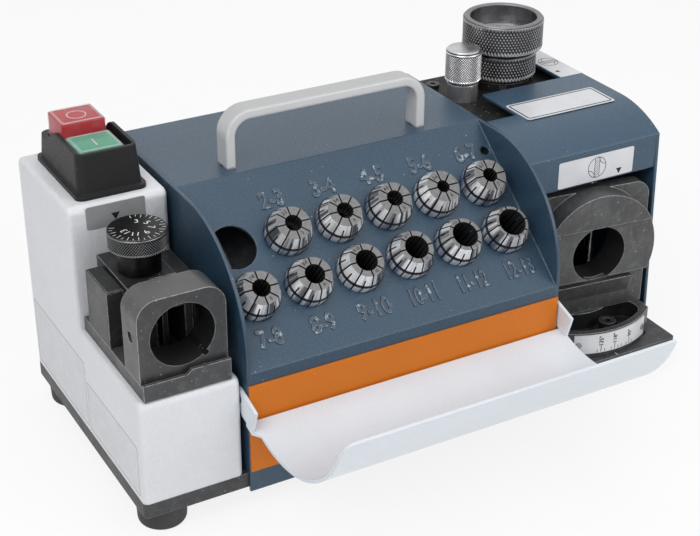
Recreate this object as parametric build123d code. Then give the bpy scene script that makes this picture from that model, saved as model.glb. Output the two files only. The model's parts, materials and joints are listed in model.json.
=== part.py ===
from build123d import *
import os
from math import atan2, cos, degrees, radians, sin, sqrt, tan

# Bench drill bit grinder. All sizes are in millimetres.
# X runs along the machine to the right, Y to the rear, Z up.
# Heights are counted from the underside of the base plate until the machine is placed at the end.

# Fits
running_gap = 0.05
moving_gap = 0.4
screw_gap = 0.2
face_gap = 0.3

# Base and feet
base_length = 279.0
base_depth = 130.5
base_thickness = 7.0
base_corner = 2.0
foot_diameter = 22.0
foot_height = 11.0
foot_edge = 2.5
foot_inset = 12.0
foot_taper = 0.6
foot_screw = 5.0

# White box
box_width = 45.0
step_rise = 48.5
top_rise = 106.0
tower_depth = 63.5
box_wall = 2.5
box_corner = 3.5
box_edge = 2.2

# Drill setting fixture
fixture_width = 38.4
fixture_front = 1.0
fixture_plate = 6.5
lip_thickness = 1.6
lip_rise = 1.2
lip_step = 2.0
lip_groove = 1.4
port_diameter = 28.0
block_thickness = 16.0
block_height = 37.0
block_corner = 9.0
block_port_rise = 18.5
set_screw = 5.0
bar_width = 7.5
bar_length = 23.7
bar_height = 26.5
bar_setback = 7.3
carrier_height = 28.0
tunnel_width = 16.0
tunnel_height = 22.0
jaw_thickness = 3.0
jaw_setback = 8.0
jaw_opening = 2.4
jaw_travel = 4.0
dial_setback = 20.3
dial_diameter = 25.2
dial_rim = 8.3
collar_diameter = 18.3
collar_height = 10.4
dial_stem = 8.0

# Switch
flange_width = 31.8
flange_depth = 52.5
flange_thickness = 2.0
flange_setback = 4.7
flange_corner = 3.5
frame_height = 17.4
frame_corner = 4.0
frame_shoulder = 29.0
frame_drop = 6.2
frame_drop_run = 13.0
frame_margin = 1.3
frame_lean_front = 1.8
frame_lean_rear = 1.8
frame_wall = 1.6
frame_wall_rear = 4.4
switch_depth = 28.0
button_width = 20.3
button_depth = 18.8
button_travel = 3.0
start_rise = 17.5
stop_rise = 22.3
button_edge = 1.0

# Blue rack cover
rack_gap = 2.3
rack_width = 156.2
sheet = 1.5
slope_setback = 67.0
slope_rise = 50.0
cheek_radius = 52.0
skirt_drop = 1.5
skirt_gap = 0.3
rear_gap = 0.5
band_low = 1.7
band_height = 42.6
band_thickness = 0.6
key_hole = 4.5

# Collets
pocket_count = 6
pocket_margin = 15.6
upper_row = 33.2
row_pitch = 24.5
pocket_diameter = 20.4
pocket_gap = 0.15
collet_diameter = 21.0
collet_length = 31.5
collet_head = 8.0
collet_taper = 8.0
collet_land = 1.6
collet_groove = 1.1
collet_groove_depth = 1.3
collet_rim = 0.4
collet_front = 19.8
collet_cone = 23.6
collet_slit = 0.65
collet_slit_share = 0.11
collet_web = 5.0
collet_bridge = 2.2
collet_mouth = 7.6
collet_mouth_depth = 6.0
smallest_collet = 3

# Carrying handle
handle_length = 100.8
handle_height = 26.0
handle_depth = 10.2
handle_bar = 4.5
handle_bend = 12.0
handle_setback = 4.6
handle_screw = 5.0

# Front lid
lid_clearance = 1.5
lid_end_gap = 0.4
lid_pivot_setback = 5.1
lid_pivot_rise = 37.0
lid_edge_gap = 0.6
lid_open_angle = 107.0
lid_corner = 6.5
lid_inset = 3.0
ear_length = 14.5
ear_margin = 4.6
lid_pin = 5.0

# Wheel guard
guard_gap = 0.6
guard_side_gap = 0.4
guard_front = 29.0
guard_toe = 25.0
guard_bend_radius = 56.0
guard_bend_start = 60.0
guard_lip = 26.4
notch_width = 17.0
notch_front = 62.0
tongue_rear = 91.0
strip_width = 13.5

# Port deck on posts
deck_thickness = 6.0
deck_drop = 5.3
deck_front = 52.0
post_diameter = 8.0
post_inset = 8.0
post_front = 64.0
post_rear_inset = 8.5
deck_screw = 4.0

# Top port and chuck
top_port_inset = 32.5
top_port_rear_inset = 17.5
sleeve_diameter = 33.0
sleeve_rise = 4.6
sleeve_length = 14.0
sleeve_notches = 6
chuck_lower_diameter = 34.7
chuck_lower_height = 13.8
chuck_upper_diameter = 40.0
chuck_upper_height = 15.8
chuck_mouth = 33.0
chuck_mouth_depth = 8.5
chuck_stem = 29.0
chuck_bore = 13.6

# Depth knob
knob_inset = 61.6
knob_rear_inset = 27.0
knob_diameter = 17.6
knob_height = 17.0
bush_diameter = 15.4
bush_height = 8.6
knob_stem = 6.0

# Lip port
swivel_inset = 35.0
swivel_y = 46.0
swivel_low = 14.0
swivel_high = 11.0
swivel_radius = 43.0
swivel_width = 53.2
swivel_height = 12.8
swivel_heel = 9.0
swivel_heel_height = 6.5
swivel_pin = 8.0
clamp_radius = 31.0
clamp_angle = 8.0
clamp_screw = 5.0
clamp_pocket = 15.5
clamp_pocket_span = 62.0
clamp_pocket_depth = 9.0
port_rise = 45.7
port_skew = 6.5
port_face = 20.0
port_disc = 61.6
port_disc_depth = 9.5
port_plate_width = 63.0
port_plate_depth = 6.5
port_plate_rise = 29.5
port_plate_corner = 8.0
port_foot_width = 57.0
port_foot_face = 23.5
port_foot_height = 17.0
port_groove = 2.6
ledge_depth = 1.2
ledge_rise = 14.3
scale_thickness = 0.8
scale_height = 10.0
scale_low = 2.0
scale_left = 29.0
scale_right = 28.0
rivet_diameter = 3.0

# Motor and wheel
wheel_radius = 38.0
wheel_width = 16.0
wheel_bevel = 31.0
wheel_flange = 32.0
wheel_flange_width = 6.0
shaft_diameter = 12.0
motor_radius = 30.0
motor_length = 100.0
motor_inset = 23.0
bell_width = 10.0
bearing_diameter = 28.0
bearing_width = 8.0
rotor_gap = 0.5
stator_wall = 10.0
rotor_length = 80.0
cradle_length = 70.0
cradle_width = 50.0
cradle_rise = 24.0

# Pieces at the rear
vent_count = 9
vent_width = 60.0
vent_height = 3.0
vent_pitch = 7.0
cover_screw = 3.5
cover_screw_length = 8.0
cover_screw_head = 2.0
gland_bore = 7.0
gland_rise = 20.0
capacitor_diameter = 28.0
capacitor_length = 46.0

# Levels and lines derived from the sizes above
base_top = base_thickness
step_top = base_top + step_rise
top = base_top + top_rise
box_middle = box_width / 2
tower_setback = base_depth - tower_depth
fixture_top = step_top + fixture_plate
fixture_left = box_middle - fixture_width / 2
fixture_right = box_middle + fixture_width / 2
block_front = fixture_front + lip_thickness + lip_groove
block_rear = block_front + block_thickness
block_port_z = fixture_top + block_port_rise
bar_rear = tower_setback - bar_setback
dial_y = tower_setback - dial_setback
carrier_top = fixture_top + carrier_height
tunnel_top = fixture_top + tunnel_height

rack_left = box_width + rack_gap
rack_right = rack_left + rack_width
rack_middle = (rack_left + rack_right) / 2
pocket_pitch = (rack_width - 2 * pocket_margin) / (pocket_count - 1)
rack_front = -skirt_gap - sheet
rear_face = base_depth + rear_gap + sheet
slope_foot_z = base_top + slope_rise
slope_angle = degrees(atan2(top - slope_foot_z, slope_setback - rack_front))
panel = Plane(
    origin=(rack_middle, slope_setback, top),
    x_dir=(1, 0, 0),
    z_dir=(0, -sin(radians(slope_angle)), cos(radians(slope_angle))),
)
cheek_y = rack_front + cheek_radius
cheek_z = top - cheek_radius

lid_inner = cheek_radius + lid_clearance
lid_outer = lid_inner + sheet
lid_pivot_y = rack_front + lid_pivot_setback
lid_pivot_z = base_top + lid_pivot_rise
lid_edge_reach = lid_pivot_y + lid_edge_gap - rack_front + band_thickness
lid_edge_reach += (cheek_y - lid_outer - lid_pivot_y) * cos(radians(lid_open_angle))
lid_edge_z = lid_pivot_z + lid_edge_reach / sin(radians(lid_open_angle))
lid_left = rack_left - lid_end_gap - sheet
lid_right = rack_right + lid_end_gap + sheet

guard_left = rack_right + guard_gap
guard_inner = base_length + guard_side_gap
guard_right = guard_inner + sheet
guard_bend_z = top - guard_bend_radius

top_port_x = base_length - top_port_inset
top_port_y = base_depth - top_port_rear_inset
knob_x = base_length - knob_inset
knob_y = base_depth - knob_rear_inset
post_rear = base_depth - post_rear_inset
deck_top = top - deck_drop
deck_low = deck_top - deck_thickness
sleeve_top = deck_top + sleeve_rise
sleeve_low = sleeve_top - sleeve_length
chuck_seat = sleeve_top + face_gap
chuck_waist = chuck_seat + chuck_lower_height
chuck_top = chuck_waist + face_gap + chuck_upper_height
bush_top = deck_top + bush_height

swivel_x = base_length - swivel_inset
swivel_low_z = base_top + face_gap
swivel_top = swivel_low_z + swivel_height
port_z = base_top + port_rise
port_rear = port_face + port_disc_depth + port_plate_depth
port_middle = (port_face + port_rear) / 2
wheel_y = swivel_y + wheel_radius
wheel_left = swivel_x - wheel_width / 2
wheel_right = swivel_x + wheel_width / 2
bevel = wheel_width / 2 * tan(radians(wheel_bevel))
motor_left = rack_left + motor_inset
motor_right = motor_left + motor_length


def block(x0, x1, y0, y1, z0, z1):
    """Box between two opposite corners."""
    return Pos((x0 + x1) / 2, (y0 + y1) / 2, (z0 + z1) / 2) * Box(x1 - x0, y1 - y0, z1 - z0)


def rod(x, y, z0, z1, radius):
    """Upright cylinder."""
    return Pos(x, y, (z0 + z1) / 2) * Cylinder(radius, z1 - z0)


def rod_x(x0, x1, y, z, radius):
    """Cylinder along X."""
    return Pos((x0 + x1) / 2, y, z) * Rot(0, 90, 0) * Cylinder(radius, x1 - x0)


def rod_y(x, y0, y1, z, radius):
    """Cylinder along Y."""
    return Pos(x, (y0 + y1) / 2, z) * Rot(90, 0, 0) * Cylinder(radius, y1 - y0)


def polygon(*points):
    """Face inside a closed line through the points."""
    return make_face(Polyline(*points, close=True))


def side_prism(face, x0, x1):
    """Face drawn in Y and Z, run along X."""
    return Pos(x0, 0, 0) * extrude(Plane.YZ * face, x1 - x0)


def front_prism(face, y0, y1):
    """Face drawn in X and Z, run along Y."""
    return Pos(0, y1, 0) * extrude(Plane.XZ * face, y1 - y0)


def near(vertices, *points):
    """Vertices of a flat outline that lie at the given points."""
    return [v for v in vertices for p in points if abs(v.X - p[0]) < 0.01 and abs(v.Y - p[1]) < 0.01]


def cap_screw(thread, length, height):
    """Socket head screw with a head of the given height above the origin and its thread below."""
    head = Pos(0, 0, height / 2) * Cylinder(thread * 0.8, height)
    shank = Pos(0, 0, -length / 2) * Cylinder(thread / 2, length)
    socket = Pos(0, 0, height * 0.4) * extrude(RegularPolygon(thread * 0.45, 6), height)
    return head + shank - socket


def group(solids):
    """Several loose solids kept as one piece."""
    return Compound(list(solids))


def foot_places():
    """Centres of the four feet."""
    return [
        (x, y)
        for x in (foot_inset, base_length - foot_inset)
        for y in (foot_inset, base_depth - foot_inset)
    ]


def clamp_place():
    """Centre of the clamp screw of the swivel."""
    angle = radians(clamp_angle - 90)
    return swivel_x + clamp_radius * cos(angle), swivel_y + clamp_radius * sin(angle)


def make_base_plate():
    plate = block(0, base_length, 0, base_depth, 0, base_top)
    plate = fillet(plate.edges().filter_by(Axis.Z), base_corner)
    for x, y in foot_places():
        plate -= rod(x, y, 0, base_top, foot_screw / 2 + screw_gap)
    x, y = clamp_place()
    plate -= rod(x, y, 0, base_top, clamp_screw / 2 + screw_gap)
    thread = cover_screw / 2 + screw_gap
    for x in rear_screw_columns():
        plate -= rod_y(x, base_depth - cover_screw_length, base_depth, base_top / 2, thread)
    for y in guard_screw_rows():
        plate -= rod_x(base_length - cover_screw_length, base_length, y, base_top / 2, thread)
    return plate - rod(swivel_x, swivel_y, base_top / 3, base_top, swivel_pin / 2)


def make_rubber_feet():
    feet = []
    for x, y in foot_places():
        foot = Cone(foot_diameter / 2 - foot_taper, foot_diameter / 2, foot_height)
        foot = fillet(foot.edges().filter_by(GeomType.CIRCLE).sort_by(Axis.Z)[0], foot_edge)
        foot = Pos(x, y, -foot_height / 2) * foot
        foot -= rod(x, y, -foot_height, -foot_height / 2, foot_screw)
        feet.append(foot - rod(x, y, -foot_height, 0, foot_screw / 2 + screw_gap))
    return group(feet)


def make_foot_screws():
    screws = []
    for x, y in foot_places():
        screw = rod(x, y, -foot_height / 2, base_top - 1, foot_screw / 2)
        screws.append(screw + rod(x, y, -foot_height * 0.88, -foot_height / 2, foot_screw * 0.85))
    return group(screws)


def box_outline(inset, low):
    """Side outline of the white box, drawn inwards by the inset."""
    return [
        (inset, low),
        (inset, step_top - inset),
        (tower_setback + inset, step_top - inset),
        (tower_setback + inset, top - inset),
        (base_depth - inset, top - inset),
        (base_depth - inset, low),
    ]


def switch_middle():
    """Middle of the switch in plan."""
    return box_middle, tower_setback + flange_setback + flange_depth / 2


def switch_body_bounds():
    """Edges of the switch body below the panel: x0, x1, y0, y1."""
    x, y = switch_middle()
    half_width = flange_width / 2 - 2 * frame_margin
    half_depth = flange_depth / 2 - 4 * frame_margin
    return x - half_width, x + half_width, y - half_depth, y + half_depth


def make_left_housing():
    points = box_outline(0, base_top)
    face = polygon(*points)
    face = fillet(near(face.vertices(), points[1], points[3], points[4]), box_corner)
    shell = side_prism(face, 0, box_width)
    sides = shell.faces().filter_by(Axis.X)
    rims = [e for f in sides for e in f.edges() if e.center().Z > base_top + 0.01]
    shell = fillet(rims, box_edge)
    shell -= side_prism(polygon(*box_outline(box_wall, 0)), box_wall, box_width - box_wall)
    x0, x1, y0, y1 = switch_body_bounds()
    shell -= block(
        x0 - screw_gap, x1 + screw_gap, y0 - screw_gap, y1 + screw_gap, top - 2 * box_wall, top + 1
    )
    gland_z = base_top + gland_rise
    return shell - rod_y(box_middle, base_depth - 2 * box_wall, base_depth + 1, gland_z, gland_bore)


def make_fixture_base():
    plate = block(
        fixture_left, fixture_right, fixture_front, tower_setback - face_gap, step_top, fixture_top
    )
    low = fixture_top + lip_rise
    lip = polygon(
        (fixture_left, step_top),
        (fixture_left, low),
        (box_middle, low),
        (box_middle + lip_step, low + lip_step),
        (fixture_right, low + lip_step),
        (fixture_right, step_top),
    )
    return plate + front_prism(lip, fixture_front, fixture_front + lip_thickness)


def make_bored_block():
    high = fixture_top + block_height
    corners = [(fixture_left, high), (fixture_right, high)]
    face = polygon((fixture_left, fixture_top), *corners, (fixture_right, fixture_top))
    face = fillet(near(face.vertices(), *corners), block_corner)
    body = front_prism(face, block_front, block_rear)
    body -= rod_y(box_middle, block_front, block_rear, block_port_z, port_diameter / 2)
    middle = (block_front + block_rear) / 2
    body -= rod_x(fixture_left, box_middle, middle, block_port_z, set_screw / 2)
    pin_x = box_middle + fixture_width / 4
    pin_z = fixture_top + block_height / 5
    return body - rod_y(pin_x, block_front, block_front + 5, pin_z, set_screw / 4)


def make_set_screw():
    middle = (block_front + block_rear) / 2
    depth = fixture_width / 2 - port_diameter / 2
    screw = rod_x(fixture_left + depth * 0.2, fixture_left + depth * 0.9, middle, block_port_z, set_screw / 2)
    socket = extrude(RegularPolygon(set_screw * 0.3, 6), depth * 0.6)
    return screw - Pos(fixture_left, middle, block_port_z) * Rot(0, 90, 0) * socket


def make_guide_bars():
    bars = []
    for x0 in (fixture_left, fixture_right - bar_width):
        bar = block(
            x0, x0 + bar_width, bar_rear - bar_length, bar_rear, fixture_top, fixture_top + bar_height
        )
        bars.append(chamfer(bar.edges().group_by(Axis.Z)[-1], 0.6))
    return group(bars)


def make_jaw_carrier():
    half = fixture_width / 2 - bar_width - face_gap
    rear = tower_setback - face_gap
    body = block(box_middle - half, box_middle + half, block_rear, rear, fixture_top, carrier_top)
    tunnel_rear = dial_y + collar_diameter / 2
    body -= block(
        box_middle - tunnel_width / 2, box_middle + tunnel_width / 2,
        block_rear, tunnel_rear, fixture_top, tunnel_top,
    )
    body -= rod(box_middle, dial_y, tunnel_top, carrier_top, dial_stem / 2 + running_gap)
    recess_rear = dial_y - collar_diameter / 2 - 1.5
    return body - block(
        box_middle, box_middle + half, block_rear, recess_rear, carrier_top - 1.5, carrier_top
    )


def make_fixed_jaw():
    y0 = block_rear + jaw_setback
    return block(
        box_middle - tunnel_width / 2, box_middle - jaw_opening / 2,
        y0, y0 + jaw_thickness, fixture_top, tunnel_top,
    )


def make_moving_jaw():
    y0 = block_rear + jaw_setback
    x0 = box_middle + jaw_opening / 2
    x1 = box_middle + tunnel_width / 2 - jaw_travel - moving_gap
    high = tunnel_top - moving_gap
    jaw = block(x0, x1, y0, y0 + jaw_thickness, fixture_top + moving_gap, high)
    arm_low = tunnel_top - tunnel_height / 4
    return jaw + block(x0, x1, y0 + jaw_thickness, dial_y + dial_stem / 2, arm_low, high)


def make_web_dial():
    collar_low = carrier_top + face_gap
    rim_low = collar_low + collar_height
    dial = rod(box_middle, dial_y, rim_low, rim_low + dial_rim, dial_diameter / 2)
    dial = chamfer(dial.edges().filter_by(GeomType.CIRCLE), 0.6)
    dial += rod(box_middle, dial_y, collar_low, rim_low, collar_diameter / 2)
    return dial + rod(box_middle, dial_y, tunnel_top, collar_low, dial_stem / 2)


def frame_section(z):
    """Outer edges of the switch frame at a height above the flange: x0, x1, y0, y1."""
    x, y = switch_middle()
    lean = z / frame_height
    half_width = flange_width / 2 - frame_margin - lean
    front = y - flange_depth / 2 + frame_margin + lean * frame_lean_front
    rear = y + flange_depth / 2 - frame_margin - lean * frame_lean_rear
    return x - half_width, x + half_width, front, rear


def frame_face(z, height):
    """Flat section of the switch frame placed at its height."""
    x0, x1, y0, y1 = frame_section(z)
    section = RectangleRounded(x1 - x0, y1 - y0, frame_corner)
    return Pos((x0 + x1) / 2, (y0 + y1) / 2, height) * section


def switch_opening():
    """Edges of the opening in the switch frame: x0, x1, y0, y1."""
    x0, x1, y0, y1 = frame_section(frame_height)
    return x0 + frame_wall, x1 - frame_wall, y0 + frame_wall, y1 - frame_wall_rear


def make_switch_frame():
    x, y = switch_middle()
    deck = top + flange_thickness
    flange = Pos(x, y, top) * extrude(RectangleRounded(flange_width, flange_depth, flange_corner), flange_thickness)
    frame = flange + loft([frame_face(0, deck), frame_face(frame_height, deck + frame_height)])
    x0, x1, y0, y1 = switch_opening()
    opening = RectangleRounded(x1 - x0, y1 - y0, button_edge + moving_gap)
    frame -= Pos((x0 + x1) / 2, (y0 + y1) / 2, top) * extrude(opening, flange_thickness + frame_height)
    high = deck + frame_height
    start = y - flange_depth / 2 + frame_shoulder
    end = start + frame_drop_run
    middle = ((start + end) / 2, high - frame_drop / 2)
    fall = TangentArc((start, high), middle, tangent=(1, 0))
    rear = y + flange_depth
    drop = make_face([
        fall,
        TangentArc(middle, (end, high - frame_drop), tangent=fall % 1),
        Polyline((end, high - frame_drop), (rear, high - frame_drop), (rear, high + 1), (start, high + 1), (start, high)),
    ])
    return frame - side_prism(drop, x - flange_width, x + flange_width)


def make_switch_body():
    x0, x1, y0, y1 = switch_body_bounds()
    body = block(x0, x1, y0, y1, top - switch_depth, top)
    x, y = switch_middle()
    for k in (-1, 0, 1):
        body += block(x - 2, x + 2, y + 8 * k - 0.4, y + 8 * k + 0.4, top - switch_depth - 7, top - switch_depth)
    return body


def make_button(y0, rise):
    x0, x1, _, _ = switch_opening()
    low = top + flange_thickness / 2 + button_travel
    left = x0 + moving_gap
    button = block(left, left + button_width, y0, y0 + button_depth, low, top + flange_thickness + rise)
    edges = [e for e in button.edges() if e.center().Z > low + 0.01]
    return fillet(edges, button_edge)


def stop_button_front():
    _, _, _, y1 = switch_opening()
    return y1 - moving_gap - button_depth


def start_button_front():
    _, _, y0, _ = switch_opening()
    return y0 + moving_gap


def pocket_places():
    """Pocket centres on the sloping panel as (across, up the slope), upper row first."""
    places = []
    for row in range(2):
        for column in range(pocket_count):
            across = (column - (pocket_count - 1) / 2) * pocket_pitch
            places.append((across, -upper_row - row * row_pitch))
    return places


def make_rack_cover():
    """Cover welded from a front, a sloping panel, a top and two cheeks."""
    fold_y = slope_setback + sheet * tan(radians(slope_angle) / 2)
    foot_inside = slope_foot_z - sheet * tan(radians(90 - slope_angle) / 2)
    inside = rack_front + sheet
    left = rack_left + sheet
    right = rack_right - sheet
    front = side_prism(
        polygon((rack_front, -skirt_drop), (rack_front, slope_foot_z), (inside, foot_inside), (inside, -skirt_drop)),
        left, right,
    )
    slope = side_prism(
        polygon((rack_front, slope_foot_z), (slope_setback, top), (fold_y, top - sheet), (inside, foot_inside)),
        left, right,
    )
    for across, up in pocket_places():
        slope -= panel.location * Pos(across, up, 0) * Cylinder(pocket_diameter / 2, 6 * sheet)
    key_x = rack_width / 2 - 2 * sheet - key_hole / 2
    slope -= panel.location * Pos(key_x, -upper_row / 2, 0) * Cylinder(key_hole / 2, 6 * sheet)
    roof = side_prism(
        polygon((slope_setback, top), (rear_face, top), (rear_face, top - sheet), (fold_y, top - sheet)), left, right
    )
    for x in rear_screw_columns():
        roof += rear_tab(x)
    for x in handle_legs():
        roof -= rod(x, handle_y(), top - 2 * sheet, top + 1, handle_screw / 2 + screw_gap)
    outline = make_face([
        Polyline(
            (cheek_y, top), (rear_face, top), (rear_face, top - sheet), (rear_face - sheet, top - sheet),
            (rear_face - sheet, base_top), (inside, base_top), (inside, -skirt_drop), (rack_front, -skirt_drop),
            (rack_front, cheek_z),
        ),
        CenterArc((cheek_y, cheek_z), cheek_radius, 90, 90),
    ])
    outline -= Pos(lid_pivot_y, lid_pivot_z) * Circle(lid_pin / 2)
    left_cheek = side_prism(outline, rack_left, left)
    right_cheek = side_prism(outline - Pos(wheel_y, port_z) * Circle(shaft_diameter), right, rack_right)
    return group([front, slope, roof, left_cheek, right_cheek])


def make_front_band():
    low = base_top + band_low
    return block(
        rack_left + face_gap, rack_right - face_gap, rack_front - band_thickness, rack_front, low, low + band_height
    )


def rear_screw_columns():
    """Places in X of the screws that hold the rear panel."""
    return rack_left + 3 * cover_screw, rack_right - 3 * cover_screw


def rear_screw_places():
    """Screws that hold the rear panel: (x, z)."""
    return [(x, z) for x in rear_screw_columns() for z in (base_top / 2, top - 3 * cover_screw)]


def rear_tab(x):
    """Tab inside the rack cover that takes an upper rear screw."""
    half = 2 * cover_screw
    rear = rear_face - sheet
    high = top - sheet
    tab = block(x - half, x + half, rear - sheet, rear, top - 5 * cover_screw, high)
    return tab - rod_y(x, rear - sheet, rear, top - 3 * cover_screw, cover_screw / 2 + screw_gap)


def make_rear_panel():
    y0 = rear_face - sheet
    plate = block(rack_left, rack_right, y0, rear_face, 0.5, top - sheet)
    middle = base_top + top_rise / 2
    for k in range(vent_count):
        z = middle + (k - (vent_count - 1) / 2) * vent_pitch
        slot = extrude(Plane.XZ * SlotOverall(vent_width, vent_height), 3 * sheet)
        plate -= Pos(rack_middle, rear_face + sheet, z) * slot
    for x, z in rear_screw_places():
        plate -= rod_y(x, y0, rear_face, z, cover_screw / 2 + screw_gap)
    return plate


def guard_screw_rows():
    """Places in Y of the screws in the side wall of the guard."""
    return guard_front + 3 * cover_screw, base_depth - 6 * cover_screw


def make_cover_screws():
    screw = cap_screw(cover_screw, cover_screw_length, cover_screw_head)
    screws = []
    for x, z in rear_screw_places():
        screws.append(Pos(x, rear_face, z) * Rot(-90, 0, 0) * screw)
    for y in guard_screw_rows():
        screws.append(Pos(guard_right, y, base_top / 2) * Rot(0, 90, 0) * screw)
    return group(screws)


def make_collet(place, size):
    """Spring collet hung in a pocket by its taper; size is the largest shank it takes."""
    slope = tan(radians(collet_taper))
    ring = ((collet_diameter - pocket_diameter) / 2 + pocket_gap) / slope
    tail = ring - (collet_length - collet_head)
    tail_radius = collet_diameter / 2 - (ring - tail) * slope
    face = ring + collet_head
    groove_low = ring + collet_land
    groove_high = groove_low + collet_groove
    cone_low = groove_high + collet_rim
    face_radius = collet_front / 2 - (face - cone_low) * tan(radians(collet_cone))
    bore = size / 2
    mouth = max(bore, collet_mouth / 2) if size < collet_mouth - 2 else bore
    core = collet_diameter / 2 - collet_groove_depth
    profile = polygon(
        (0, tail), (tail_radius, tail), (collet_diameter / 2, ring), (collet_diameter / 2, groove_low),
        (core, groove_low), (core, groove_high), (collet_front / 2, groove_high), (collet_front / 2, cone_low),
        (face_radius, face), (0, face),
    )
    body = revolve(Plane.XZ * profile, Axis.Z)
    body -= rod(0, 0, tail, face, bore)
    body -= rod(0, 0, face - collet_mouth_depth, face, mouth)
    slit = min(collet_slit, collet_slit_share * size) / 2
    front = block(-collet_diameter, collet_diameter, -slit, slit, tail + collet_web, face)
    rear = block(-collet_diameter, collet_diameter, -slit, slit, tail, face - collet_bridge)
    for k in range(4):
        body -= Rot(0, 0, 45 * k) * front
        body -= Rot(0, 0, 45 * k + 22.5) * rear
    return panel.location * Pos(place[0], place[1], 0) * body


def handle_legs():
    """Middle lines of the two handle legs in X."""
    reach = handle_length / 2 - handle_bar / 2
    return [rack_middle - reach, rack_middle + reach]


def handle_y():
    """Middle line of the handle in Y."""
    return slope_setback + handle_setback + handle_depth / 2


def make_carry_handle():
    x0 = rack_middle - handle_length / 2
    x1 = rack_middle + handle_length / 2
    high = top + handle_height
    outer = polygon((x0, top), (x0, high), (x1, high), (x1, top))
    outer = fillet(near(outer.vertices(), (x0, high), (x1, high)), handle_bend)
    xi0 = x0 + handle_bar
    xi1 = x1 - handle_bar
    inner_high = high - handle_bar
    inner = polygon((xi0, top), (xi0, inner_high), (xi1, inner_high), (xi1, top))
    inner = fillet(near(inner.vertices(), (xi0, inner_high), (xi1, inner_high)), handle_bend - handle_bar)
    y0 = handle_y() - handle_depth / 2
    bar = front_prism(outer - inner, y0, y0 + handle_depth)
    edges = [e for f in bar.faces().filter_by(Axis.Y) for e in f.edges() if e.center().Z > top + 0.01]
    bar = fillet(edges, 0.8)
    for x in handle_legs():
        bar -= rod(x, handle_y(), top, top + handle_height / 2, handle_screw * 0.3 + screw_gap)
    return bar


def make_handle_screws():
    screws = []
    for x in handle_legs():
        screw = rod(x, handle_y(), top - sheet, top + handle_height / 3, handle_screw * 0.3)
        screws.append(screw + rod(x, handle_y(), top - sheet - handle_screw / 2, top - sheet, handle_screw * 0.85))
    return group(screws)


def make_front_lid():
    edge = lid_edge_z
    inner = cheek_y - lid_inner
    outer = cheek_y - lid_outer
    profile = make_face([
        Line((outer, edge), (outer, cheek_z)),
        CenterArc((cheek_y, cheek_z), lid_outer, 180, -90),
        Line((cheek_y, cheek_z + lid_outer), (cheek_y, cheek_z + lid_inner)),
        CenterArc((cheek_y, cheek_z), lid_inner, 90, 90),
        Line((inner, cheek_z), (inner, edge)),
        Line((inner, edge), (outer, edge)),
    ])
    lid = side_prism(profile, lid_left, lid_right)
    shoulder = lid_pivot_z + ear_length
    high = cheek_z + lid_outer + 1
    side = polygon(
        (lid_left - 1, shoulder), (lid_left, shoulder), (lid_left + lid_inset, shoulder + lid_inset),
        (lid_left + lid_inset, high), (lid_left - 1, high),
    )
    lid -= front_prism(side, outer - 1, cheek_y + 1)
    tips = [e for e in lid.edges().filter_by(Axis.Z) if abs(e.center().Y - cheek_y) < 0.01]
    lid = fillet(min(tips, key=lambda e: e.center().X), lid_corner)
    strip = polygon(
        (lid_pivot_y - ear_margin, lid_pivot_z),
        (inner, lid_pivot_z + ear_margin),
        (inner, lid_pivot_z + ear_length),
        (lid_pivot_y + ear_margin, lid_pivot_z + ear_length),
        (lid_pivot_y + ear_margin, lid_pivot_z),
    )
    ear = strip + Pos(lid_pivot_y, lid_pivot_z) * Circle(ear_margin)
    ear -= Pos(lid_pivot_y, lid_pivot_z) * Circle(lid_pin / 2 + running_gap)
    lid += side_prism(ear, lid_left, lid_left + sheet)
    lid += side_prism(ear, lid_right - sheet, lid_right)
    hinge = Pos(0, lid_pivot_y, lid_pivot_z)
    return hinge * Rot(lid_open_angle, 0, 0) * Pos(0, -lid_pivot_y, -lid_pivot_z) * lid


def make_lid_pins():
    pins = []
    for outside, inside in ((lid_left, rack_left + sheet), (lid_right, rack_right - sheet)):
        way = 1 if inside > outside else -1
        ends = sorted((outside - way * face_gap, inside + way * 3))
        pin = rod_x(ends[0], ends[1], lid_pivot_y, lid_pivot_z, lid_pin / 2)
        collar = sorted((inside, inside + way * 2))
        pins.append(pin + rod_x(collar[0], collar[1], lid_pivot_y, lid_pivot_z, lid_pin * 0.65))
    return group(pins)


def guard_height(y, radius):
    """Height of the bent guard top at a place in front of the bend line."""
    return guard_bend_z + sqrt(radius ** 2 - (guard_bend_start - y) ** 2)


def bend_arc(y, radius):
    """Arc of the guard top from the bend line forward to the given place."""
    middle = (guard_bend_start + y) / 2
    return ThreePointArc(
        (guard_bend_start, guard_bend_z + radius), (middle, guard_height(middle, radius)), (y, guard_height(y, radius))
    )


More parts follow.
